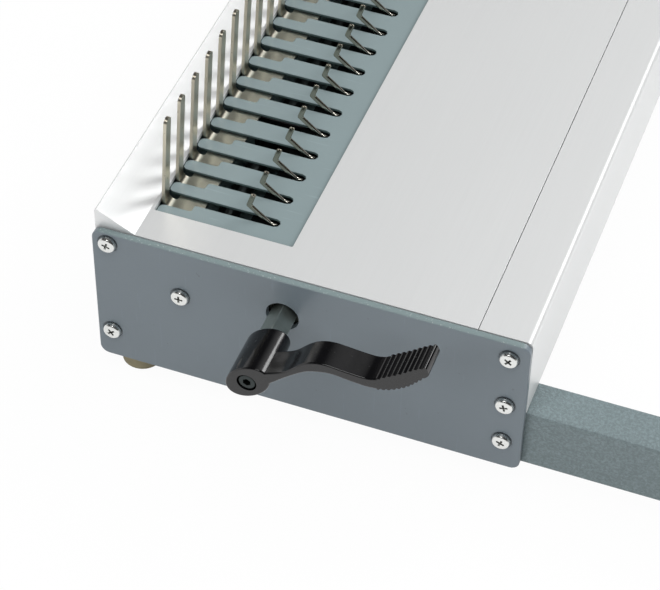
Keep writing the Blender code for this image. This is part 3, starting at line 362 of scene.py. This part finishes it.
def nickel(name, color):
    """Nickel of fingers and hooks: a warm painted highlight at the hooks' roots, rougher and in painted
    shade below the deck.
    """
    metal = Finish(name, color, 0.2, 1.0)
    cloud = metal.noise(0.006, 3.0)
    fine = metal.noise(0.0005, 3.0, 0.6, (1.0, 1.0, 0.08))
    spots = metal.spots(0.0028, 0.33, 0.07)
    height = metal.axis("Z")
    # Below the deck the nickel is rougher and darkened to a teal grey as painted shade
    dull_and_shaded = 1 - height.ramp(row(0, 0, -0.0050).z, row(0, 0, -0.0028).z)
    # Painted highlight: the hooks' roots, just below the deck, are lightened to a bright cream
    painted_root_highlight = (1 - height.ramp(row(0, 0, -0.0012).z, row(0, 0, 0.0002).z)) * (1 - dull_and_shaded)
    comb = 1 - metal.axis("X").ramp(row(0.026, 0, 0).x, row(0.028, 0, 0).x)
    tone = metal.mix_color(cloud, shade(color, 0.88), shade(color, 1.06))
    tone = metal.mix_color(spots * 0.4, tone, (0.26, 0.23, 0.17))
    tone = metal.mix_color((1 - comb) * 0.6, tone, (0.36, 0.34, 0.28))
    tone = metal.mix_color((1 - comb) * painted_root_highlight, tone, (0.90, 0.86, 0.76))
    tone = metal.mix_color(dull_and_shaded * 0.85, tone, (0.28, 0.37, 0.37))
    metal.drive("Base Color", tone)
    metal.drive("Roughness", cloud * 0.08 + fine * 0.06 + spots * 0.08 + dull_and_shaded * 0.45 + comb * 0.16 + 0.08)
    metal.bump((fine, 0.000002), (cloud, 0.00001))
    return metal.material


def oiled_steel(name, color):
    """Machined steel inside the case, with a thin dark oil film."""
    metal = Finish(name, color, 0.38, 0.95)
    film = metal.noise(0.011, 3.0)
    lathe = metal.noise(0.0004, 2.0, 0.5, (1.0, 0.15, 1.0))
    metal.drive("Base Color", metal.mix_color(film, shade(color, 0.55), shade(color, 1.15)))
    metal.drive("Roughness", 0.26 + film * 0.18 + lathe * 0.10)
    metal.bump((lathe, 0.000015))
    return metal.material


def gloss_enamel(name, color):
    """The lever's black enamel: cast skin under a glossy coat, with smears and a little dust."""
    enamel = Finish(name, color, 0.2, Specular_IOR_Level=0.6)
    skin = enamel.noise(0.0035, 3.0)
    smear = enamel.noise(0.012, 3.0, 0.6)
    dust = enamel.spots(0.0011, 0.30, 0.03)
    tone = enamel.mix_color(smear, shade(color, 0.6), shade(color, 1.6))
    enamel.drive("Base Color", enamel.mix_color(dust * 0.2, tone, (0.05, 0.05, 0.05)))
    enamel.drive("Roughness", smear * 0.12 + skin * 0.04 + dust * 0.2 + 0.08)
    enamel.bump((skin, 0.00005))
    return enamel.material


def moulded(name, color, roughness, grain=0.0012):
    """Moulded plastic or rubber with a fine eroded skin."""
    plastic = Finish(name, color, roughness)
    skin = plastic.noise(grain, 2.0)
    cloud = plastic.noise(0.010, 2.0)
    plastic.drive("Base Color", plastic.mix_color(cloud, shade(color, 0.82), shade(color, 1.15)))
    plastic.drive("Roughness", roughness - 0.08 + cloud * 0.10 + skin * 0.06)
    plastic.bump((skin, 0.00003))
    return plastic.material


FINISHES = {
    "slate_paint": plate_enamel("slate_paint", (0.138, 0.168, 0.190)),
    "leg_paint": wrinkled_paint("leg_paint", (0.160, 0.206, 0.216)),
    "plate_paint": punched_paint("plate_paint", (0.188, 0.238, 0.246)),
    "pan_paint": smooth_paint("pan_paint", (0.100, 0.150, 0.148), 0.55),
    "anodised": anodised("anodised", (0.77, 0.78, 0.78)),
    "nickel": nickel("nickel", (0.61, 0.57, 0.465)),
    "zinc": plated("zinc", (0.83, 0.84, 0.82), 0.26, (0.40, 0.40, 0.38)),
    "steel": oiled_steel("steel", (0.54, 0.60, 0.56)),
    "lever_enamel": gloss_enamel("lever_enamel", (0.002, 0.002, 0.0025)),
    "black_nylon": moulded("black_nylon", (0.012, 0.012, 0.013), 0.48),
    "white_nylon": moulded("white_nylon", (0.68, 0.68, 0.63), 0.50),
    "black_oxide": oiled_steel("black_oxide", (0.055, 0.065, 0.065)),
    "greased_steel": oiled_steel("greased_steel", (0.050, 0.055, 0.045)),
    "tan_rubber": moulded("tan_rubber", (0.235, 0.205, 0.125), 0.62, 0.0008),
}


def dress_nodes():
    """Every CAD node that stays takes its full finish."""
    for name, node in NODES.items():
        node.data.materials.clear()
        node.data.materials.append(FINISHES["greased_steel" if "pinion" in name else SLOT_OF[name]])


# Shaping

def hand_over(bm, name, node, angle):
    """Turn a finished bmesh into the piece that stands for a CAD node."""
    bmesh.ops.remove_doubles(bm, verts=bm.verts, dist=0.000001)
    bmesh.ops.recalc_face_normals(bm, faces=bm.faces)
    for face in bm.faces:
        face.smooth = True
    for edge in bm.edges:
        edge.smooth = len(edge.link_faces) == 2 and edge.calc_face_angle() < math.radians(angle)
    mesh = bpy.data.meshes.new(name)
    bm.to_mesh(mesh)
    bm.free()
    stale = mesh.attributes.get("custom_normal")
    if stale:
        mesh.attributes.remove(stale)
    mesh.materials.clear()
    mesh.materials.append(FINISHES[SLOT_OF[node]])
    piece = bpy.data.objects.new(name, mesh)
    bpy.context.scene.collection.objects.link(piece)
    even = piece.modifiers.new("even_shading", "WEIGHTED_NORMAL")
    even.keep_sharp = True
    even.mode = "FACE_AREA"
    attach(piece, BODY_OF[node])
    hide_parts(node)


def merged_copy(node):
    """A CAD node's mesh as a bmesh with whole flat faces."""
    bm = bmesh.new()
    bm.from_mesh(NODES[node].data)
    bmesh.ops.remove_doubles(bm, verts=bm.verts, dist=0.000002)
    bmesh.ops.dissolve_limit(bm, angle_limit=math.radians(0.5), verts=bm.verts, edges=bm.edges,
                             use_dissolve_boundaries=False)
    return bm


def round_edges(bm, edges, width, segments, clamp=True):
    """Round the edges between faces."""
    bmesh.ops.bevel(bm, geom=edges, offset=width, offset_type="OFFSET", segments=segments,
                    profile=0.5, affect="EDGES", clamp_overlap=clamp, material=-1)


def round_corners(bm, verts, width, segments):
    """Round the corners of a flat sheet."""
    bmesh.ops.bevel(bm, geom=verts, offset=width, offset_type="OFFSET", segments=segments,
                    profile=0.5, affect="VERTICES", material=-1)


def sharp_edges(bm, angle):
    """Edges between faces that meet at more than an angle."""
    return [edge for edge in bm.edges if len(edge.link_faces) == 2
            and edge.calc_face_angle() > math.radians(angle)]


def eased_piece(node, width, segments=2, angle=35, smooth=40):
    """A CAD node's shape with its stamped, sawn or moulded edges softened."""
    bm = merged_copy(node)
    if width:
        round_edges(bm, sharp_edges(bm, angle), width, segments)
    hand_over(bm, node + "_eased", node, smooth)


def along_y(edge):
    """How far an edge runs along Y."""
    return abs(edge.verts[0].co.y - edge.verts[1].co.y)


def only_verts(geom):
    """The vertices among what an operator made."""
    return [item for item in geom if isinstance(item, bmesh.types.BMVert)]


def grow(bm, faces, vector):
    """Extrude faces of an open sheet by a vector."""
    grown = bmesh.ops.extrude_face_region(bm, geom=faces)
    bmesh.ops.translate(bm, verts=only_verts(grown["geom"]), vec=vector)
    return grown["geom"]


def turn_about(bm, verts, degrees, axis):
    """Turn vertices about one of the model's axes."""
    matrix = Matrix.Rotation(math.radians(degrees), 3, axis)
    bmesh.ops.rotate(bm, verts=verts, cent=(0, 0, 0), matrix=matrix)


def add_drill(tool, radius, length, sides, centre):
    """Add a straight drill along Y to a cutting tool, round its own centre."""
    made = bmesh.ops.create_cone(tool, cap_ends=True, segments=sides, radius1=radius, radius2=radius,
                                 depth=length)
    turn_about(tool, made["verts"], 90, "X")
    bmesh.ops.translate(tool, verts=made["verts"], vec=centre)


def spun(profile, centre, axis, steps):
    """A closed turned shape. Its profile of (radius, height) pairs starts and ends on the axis."""
    bm = bmesh.new()
    direction = Vector(axis)
    side = Vector((1, 0, 0))
    verts = [bm.verts.new(centre + side * radius + direction * height) for radius, height in profile]
    edges = [bm.edges.new(pair) for pair in zip(verts, verts[1:])]
    bmesh.ops.spin(bm, geom=edges, cent=centre, axis=direction, dvec=(0, 0, 0), angle=math.tau,
                   steps=steps, use_merge=True, use_duplicate=False)
    bmesh.ops.remove_doubles(bm, verts=bm.verts, dist=0.000002)
    bmesh.ops.recalc_face_normals(bm, faces=bm.faces)
    return bm


def carved(bm, cutter, name):
    """The mesh of one bmesh with another cut out of it."""
    objects = []
    for label, source in ((name, bm), (name + "_tool", cutter)):
        bmesh.ops.recalc_face_normals(source, faces=source.faces)
        mesh = bpy.data.meshes.new(label)
        source.to_mesh(mesh)
        source.free()
        objects.append(bpy.data.objects.new(label, mesh))
        bpy.context.scene.collection.objects.link(objects[-1])
    blank, tool = objects
    cut = blank.modifiers.new("cut", "BOOLEAN")
    cut.operation = "DIFFERENCE"
    cut.solver = "EXACT"
    cut.object = tool
    depsgraph = bpy.context.evaluated_depsgraph_get()
    mesh = bpy.data.meshes.new_from_object(blank.evaluated_get(depsgraph))
    for item in objects:
        bpy.data.objects.remove(item)
    result = bmesh.new()
    result.from_mesh(mesh)
    bpy.data.meshes.remove(mesh)
    return result


def curve_through(points, steps):
    """Points on a smooth curve through the given ones."""
    padded = [points[0], *points, points[-1]]
    found = []
    for a, b, c, d in zip(padded, padded[1:], padded[2:], padded[3:]):
        a, b, c, d = (Vector(point) for point in (a, b, c, d))
        for i in range(steps):
            t = i / steps
            found.append(0.5 * (2 * b + (c - a) * t + (2 * a - 5 * b + 4 * c - d) * t * t
                                + (3 * b - 3 * c + d - a) * t ** 3))
    return found + [Vector(points[-1])]


# Stampings

def finger_comb():
    """The comb as it is made: a flat blank with 21 tongues, folded up over a 3 mm nose."""
    # In the maker's drawing: the strip's top, thickness and front edge, the fingers' back, height and
    # lean, the blank's margin past the end rings, and the radius of the nose
    top, sheet = -0.0038, 0.0014
    front, back = 0.0360, 0.02045
    height = 0.0424
    margin = 0.009
    nose = 0.0032
    lean = math.radians(3.25)
    turn = math.pi / 2 + lean
    fold_start = back + nose * (math.sin(turn) + math.tan(lean) * (1 - math.cos(turn)))
    arc = nose * turn
    rise = (height - top - nose * (1 - math.cos(turn))) / math.cos(lean)
    tip = fold_start - arc - rise
    outline = [(front, RINGS[0] - margin), (fold_start, RINGS[0] - margin)]
    for ring in RINGS:
        near = ring - 0.0057
        far = ring - 0.0010
        outline += [(fold_start, near), (tip, near), (tip, far), (fold_start - 0.006, far),
                    (fold_start, far + 0.0008)]
    outline += [(fold_start, RINGS[-1] + margin), (front, RINGS[-1] + margin)]
    bm = bmesh.new()
    bm.faces.new([bm.verts.new(row(x, y, top)) for x, y in outline])
    limit = row(tip + 0.001, 0, 0).x
    round_corners(bm, [vert for vert in bm.verts if vert.co.x < limit], 0.00233, 6)
    # The first and last of the corners on the fold are the blank's own ends, and stay square
    fold = row(fold_start, 0, 0).x
    roots = [vert for vert in bm.verts if abs(vert.co.x - fold) < SAME]
    round_corners(bm, roots[1:-1], 0.0009, 3)
    folds = 6
    lines = [row(fold_start - arc * i / folds, 0, top) for i in range(folds + 1)]
    for line in lines:
        bmesh.ops.bisect_plane(bm, geom=[*bm.verts, *bm.edges, *bm.faces], dist=0.000001,
                               plane_co=line, plane_no=(1, 0, 0))
    grow(bm, list(bm.faces), (0, 0, -sheet))
    slices = [([vert for vert in bm.verts if vert.co.x < line.x - SAME],
               [vert for vert in bm.verts if abs(vert.co.x - line.x) <= SAME]) for line in lines]
    shares = [0.5] + [1.0] * (folds - 1) + [0.5]
    for line, share, (beyond, along) in reversed(list(zip(lines, shares, slices))):
        step = turn / folds * share
        bmesh.ops.rotate(bm, verts=beyond, cent=line, matrix=Matrix.Rotation(step, 3, "Y"))
        bmesh.ops.rotate(bm, verts=along, cent=line, matrix=Matrix.Rotation(step / 2, 3, "Y"))
    bmesh.ops.recalc_face_normals(bm, faces=bm.faces)
    round_edges(bm, sharp_edges(bm, 50), 0.00022, 2)
    hand_over(bm, "folded_comb", "finger_comb", 45)


def hooks():
    """Nickel hooks, tumbled until every edge is round."""
    for name in HOOKS:
        bm = merged_copy(name)
        inner = [edge for edge in bm.edges if along_y(edge) > THROUGH
                 and not edge.is_convex and edge.calc_face_angle() > 0.6]
        round_edges(bm, inner, 0.0008, 4)
        top = max(vert.co.z for vert in bm.verts)
        tips = [edge for edge in sharp_edges(bm, 60) if along_y(edge) > THROUGH
                and all(vert.co.z > top - 0.002 for vert in edge.verts)]
        round_edges(bm, tips, 0.0006, 3)
        sides = [edge for edge in sharp_edges(bm, 60) if along_y(edge) < LEVEL]
        round_edges(bm, sides, HOOK_ROUND, 5, False)
        hand_over(bm, name + "_tumbled", name, 60)


# Fastenings and feet

def cross_tool(centre, outward):
    """The tapered cross of a recess, from a grid without its corners."""
    half, slot = 0.0018, 0.00045
    depth, taper = 0.0022, 0.70
    bm = bmesh.new()
    bmesh.ops.create_grid(bm, x_segments=3, y_segments=3, size=half)
    lines = (-half, -slot, slot, half)
    for vert in bm.verts:
        i, j = (round((value + half) * 1.5 / half) for value in vert.co.xy)
        vert.co.x, vert.co.y = lines[i], lines[j]
    corners = [face for face in bm.faces
               if min(abs(value) for value in face.calc_center_median().xy) > slot]
    bmesh.ops.delete(bm, geom=corners, context="FACES")
    deep = only_verts(grow(bm, list(bm.faces), (0, 0, -depth)))
    bmesh.ops.scale(bm, verts=deep, vec=(taper, taper, 1.0))
    turn_about(bm, bm.verts, -90 * outward, "X")
    bmesh.ops.translate(bm, verts=bm.verts, vec=centre)
    return bm


def plate_screw(name):
    """A pan head screw with a tapered cross recess, each set at its own turn."""
    head, shank = 0.0023, 0.0019
    low, high = (Vector(corner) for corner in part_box(name))
    outward = -1 if name.startswith("left") else 1
    centre = (low + high) / 2
    radius = (high.x - low.x) / 2
    face = low.y if outward < 0 else high.y
    seat = face - outward * head
    end = -outward * (high.y - low.y - head)
    crown = [(0, 1.0), (0.50, 0.996), (0.74, 0.978), (0.86, 0.92), (0.94, 0.78), (0.985, 0.50),
             (1.0, 0.20), (1.0, 0.02), (0.97, 0.0)]
    profile = [(radius * out, outward * head * up) for out, up in crown]
    profile += [(shank, 0), (shank, end), (0, end)]
    bm = spun(profile, Vector((centre.x, seat, centre.z)), (0, 1, 0), 40)
    tool = cross_tool(Vector((0, face + outward * 0.0002, 0)), outward)
    # No two recesses point the same way
    turn_about(tool, tool.verts, 17 + 37 * PLATE_SCREWS.index(name), "Y")
    bmesh.ops.translate(tool, verts=tool.verts, vec=(centre.x, 0, centre.z))
    hand_over(carved(bm, tool, name + "_head"), name + "_turned", name, 35)


def lever_screw():
    """The socket head cap screw in the lever's hub."""
    head, shank = 0.0039, 0.0019
    low, high = (Vector(corner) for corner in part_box("lever_screw"))
    centre = Vector(((low.x + high.x) / 2, low.y, (low.z + high.z) / 2))
    radius = (high.x - low.x) / 2
    length = high.y - low.y
    profile = [(0, 0), (radius - 0.0007, 0), (radius - 0.0003, 0.0001), (radius, 0.0005),
               (radius, head), (shank, head), (shank, length), (0, length)]
    bm = spun(profile, centre, (0, 1, 0), 48)
    tool = bmesh.new()
    add_drill(tool, 0.0018, 0.005, 6, centre)
    hand_over(carved(bm, tool, "cap_screw"), "lever_cap_screw", "lever_screw", 35)


def rubber_foot(name):
    """A bumper foot: dished underneath, swelling to a rounded tread."""
    low, high = (Vector(corner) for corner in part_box(name))
    centre = Vector(((low.x + high.x) / 2, (low.y + high.y) / 2, 0))
    neck = 0.0028
    profile = [(0, 0.0007), (0.0058, 0.0007), (0.0062, 0), (0.0078, 0), (0.0084, 0.0002),
               (0.0087, 0.0006), (0.0088, 0.0012), (0.0088, 0.0030), (0.0087, 0.0036),
               (0.0084, 0.0096), (0.0083, 0.0103), (0.0080, 0.0107), (neck, 0.0107),
               (neck, high.z - 0.0035), (0.0035, high.z - 0.0032), (neck, high.z - 0.0002), (0, high.z)]
    hand_over(spun(profile, centre, (0, 0, 1), 48), name + "_moulded", name, 40)


# Lever

def arm_points(shares):
    """Points of the arm's outline, measured from the shaft's axis on the lever's face."""
    return [Vector((REACH * x, RISE * z)) for x, z in shares]


def saw_teeth(shares, teeth):
    """The pad's serrations along one side: a smooth curve with rounded notches."""
    curve = curve_through(arm_points(shares), 12)
    lengths = [0.0]
    for a, b in zip(curve, curve[1:]):
        lengths.append(lengths[-1] + (b - a).length)
    # A tooth's corners: how far along the tooth each lies, and what share of the depth it is cut
    corners = ((0.0, 0.0), (0.30, 0.10), (0.58, 1.0), (0.80, 0.45))
    points = []
    for tooth in range(teeth):
        for cut, sink in corners:
            want = lengths[-1] * (tooth + cut) / teeth
            k = max(j for j in range(len(curve) - 1) if lengths[j] <= want)
            a, b = curve[k], curve[k + 1]
            along = (b - a).normalized()
            point = a + along * (want - lengths[k])
            points.append(point + Vector((along.y, -along.x)) * SERRATION * sink)
    return points + [curve[-1]]


def hub_outline(sides):
    """The hub's oval, turned with the shaft's square and set a little towards the arm."""
    long_half, short_half, shift = 0.0106, 0.0070, 0.0004
    turn = math.radians(LEVER_TURN)
    along = Vector((math.cos(turn), math.sin(turn)))
    across = Vector((-along.y, along.x))
    hub = []
    for i in range(sides):
        angle = math.tau * i / sides - math.pi / 2
        hub.append(along * (shift + long_half * math.cos(angle)) + across * short_half * math.sin(angle))
    return hub


def behind(flat, y=0.0):
    """The model's point for one on the lever's outer face, y metres behind it."""
    return Vector((SHAFT.x + flat.x, SHAFT.y + y, SHAFT.z + flat.y))


def lever_blank():
    """The lever's hub, arm and pad, with their rims rounded."""
    hub = hub_outline(80)
    # The arm leaves the hub between these two of its 80 corners
    under, over = 12, 22
    top = curve_through([hub[over], *arm_points(ARM_TOP)], 8)
    low = curve_through([*arm_points(ARM_UNDER), hub[under]], 8)
    pad_top = saw_teeth(PAD_TOP, 9)
    pad_low = saw_teeth(PAD_UNDER, 10)
    nose = curve_through([pad_top[-1], *arm_points(NOSE), pad_low[0]], 3)
    bm = bmesh.new()
    ring = [bm.verts.new(behind(flat)) for flat in hub]
    outline = top[1:] + pad_top[1:] + nose[1:-1] + pad_low + low[1:-1]
    arm = [bm.verts.new(behind(flat)) for flat in outline]
    faces = [bm.faces.new(ring), bm.faces.new(ring[under:over + 1] + arm)]
    grown = grow(bm, faces, (0, ARM_WIDTH, 0))
    inner = [item for item in grown if isinstance(item, bmesh.types.BMFace) and abs(item.normal.y) > 0.9
             and item.calc_center_median().y > SHAFT.y + ARM_WIDTH - LEVEL]
    hub_inner = min(inner, key=lambda face: face.calc_center_median().x)
    more = bmesh.ops.extrude_face_region(bm, geom=[hub_inner, *hub_inner.edges])
    bmesh.ops.translate(bm, verts=only_verts(more["geom"]), vec=(0, HUB_WIDTH - ARM_WIDTH, 0))
    bmesh.ops.recalc_face_normals(bm, faces=bm.faces)
    flush = [edge for edge in bm.edges if len(edge.link_faces) == 2 and edge.calc_face_angle() < 0.001
             and all(abs(vert.co.y - SHAFT.y) < LEVEL for vert in edge.verts)]
    bmesh.ops.dissolve_edges(bm, edges=flush, use_verts=True, use_face_split=False)
    # Broad rims on the hub and the arm, fine ones on the serrated pad
    pad = SHAFT.x + REACH * PAD_START
    rims = [edge for edge in sharp_edges(bm, 50) if along_y(edge) < LEVEL and edge.is_convex
            and not all(vert.co.x > pad for vert in edge.verts)]
    round_edges(bm, rims, 0.0007, 4, False)
    rims = [edge for edge in sharp_edges(bm, 50) if along_y(edge) < LEVEL and edge.is_convex
            and all(vert.co.x > pad - 0.0002 for vert in edge.verts)]
    round_edges(bm, rims, 0.00025, 2)
    return bm


def lever():
    """The crank casting: oval hub, swept arm and serrated thumb pad, cut for shaft and screw."""
    axis = Vector((0, 0))
    tool = bmesh.new()
    # The seat of the screw's head, then the hole of its shank: radius, start and end behind the face
    for radius, start, end in ((0.0041, -0.001, 0.0045), (0.0022, 0.003, 0.012)):
        add_drill(tool, radius, end - start, 48, behind(axis, (start + end) / 2))
    bm = carved(lever_blank(), tool, "crank")
    square, length, beyond = 0.0085375, 0.0172, 0.0010
    tool = bmesh.new()
    bmesh.ops.create_cube(tool, size=1.0)
    bmesh.ops.scale(tool, verts=tool.verts, vec=(square, length, square))
    turn_about(tool, tool.verts, -LEVER_TURN, "Y")
    bmesh.ops.translate(tool, verts=tool.verts, vec=behind(axis, HUB_WIDTH + beyond - length / 2))
    hand_over(carved(bm, tool, "crank_bore"), "lever_casting", "lever", 38)


# Studio

def softbox(name, place, size, power, mirrored=False):
    """A square area lamp turned towards the machine. Only a mirrored one shows in metal and gloss."""
    data = bpy.data.lights.new(name, "AREA")
    data.shape = "SQUARE"
    data.size = size
    data.energy = power
    lamp = bpy.data.objects.new(name, data)
    lamp.location = place
    lamp.visible_glossy = mirrored
    lamp.rotation_euler = (Vector((0, 0, 0.05)) - Vector(place)).to_track_quat("-Z", "Y").to_euler()
    bpy.context.scene.collection.objects.link(lamp)


def seen_rays(tree):
    """1 for camera rays, and for those that metal and glass reflect."""
    seen, glossy, passed = (new_node(tree, "ShaderNodeLightPath", output=f"Is {kind} Ray")
                            for kind in ("Camera", "Glossy", "Transmission"))
    return seen, glossy.math("MAXIMUM", passed)


def studio_world():
    """White for the camera, soft light, and for metal and gloss a panel above and one at the left."""
    world = bpy.data.worlds.new("studio")
    bpy.context.scene.world = world
    world.use_nodes = True
    tree = world.node_tree
    background = tree.nodes["Background"]
    seen, mirrored = seen_rays(tree)
    sky = new_node(tree, "ShaderNodeTexCoord", output="Generated")
    x, y, z = (new_node(tree, "ShaderNodeSeparateXYZ", values={0: sky}, output=i) for i in range(3))
    above = z.ramp(0.42, 0.55) * x.ramp(-0.35, 0.40) * y.ramp(0.35, 0.55)
    left = (1 - x.ramp(-0.75, -0.55)) * (1 - z.ramp(0.30, 0.45))
    panel = above * 1.15 + left * 0.85 + 0.04
    strength = seen + mirrored * panel + (1 - seen.math("MAXIMUM", mirrored)) * 0.45
    tree.links.new(strength.socket, background.inputs["Strength"])
    background.inputs["Color"].default_value = (1.0, 1.0, 1.0, 1.0)


def studio_floor():
    """A pale floor, almost white to the camera, that keeps the machine's shadow."""
    bm = bmesh.new()
    bmesh.ops.create_grid(bm, x_segments=2, y_segments=2, size=6.0)
    mesh = bpy.data.meshes.new("floor")
    bm.to_mesh(mesh)
    bm.free()
    floor = bpy.data.objects.new("floor", mesh)
    bpy.context.scene.collection.objects.link(floor)
    pale = Finish("floor", (0.74, 0.74, 0.74), 0.9)
    seen, mirrored = seen_rays(pale.tree)
    mix = pale.node("ShaderNodeMixShader", values={
        0: seen * 0.96 + mirrored * 0.69, 1: Value(pale.tree, pale.shader.outputs[0]),
        2: pale.node("ShaderNodeEmission")})
    output = next(node for node in pale.tree.nodes if node.type == "OUTPUT_MATERIAL")
    pale.tree.links.new(mix.socket, output.inputs["Surface"])
    mesh.materials.append(pale.material)


def studio_lamps():
    """Plain soft lamps: place, size and power. Metal and gloss mirror only the crown and the glint."""
    softbox("key", (-0.8, -1.5, 1.0), 0.7, 7)
    softbox("top", (0.5, -0.2, 1.6), 1.6, 16)
    softbox("fill", (1.5, -0.6, 1.0), 2.0, 3.2)
    softbox("crown", (-0.2, -0.75, 1.3), 0.45, 3.5, True)
    softbox("back", (0.75, 1.3, 1.2), 1.2, 17)
    softbox("glint", (0.73, 0.985, 1.315), 0.45, 4.2, True)


def main():
    make_camera()
    studio_world()
    studio_floor()
    studio_lamps()
    dress_nodes()
    finger_comb()
    hooks()
    eased_piece("slotted_plate", 0.00015)
    for side in ("left", "right"):
        eased_piece(side + "_end_plate", 0.00012, angle=30)
        eased_piece(side + "_leg_tube", 0)
        eased_piece(side + "_front_leg_cap", 0.0002)
        eased_piece(side + "_rear_leg_cap", 0.0002)
        for end in ("front", "rear"):
            rubber_foot(side + "_" + end + "_foot")
    for name in PLATE_SCREWS:
        plate_screw(name)
    eased_piece("deck_cover", 0.00015, smooth=24)
    eased_piece("front_rail", 0.00015)
    eased_piece("drive_shaft", 0.0005, 3)
    eased_piece("hook_carriage", 0.0002)
    eased_piece("slide_block", 0.0002)
    lever()
    lever_screw()


bpy.context.scene.view_settings.view_transform = "Standard"
main()
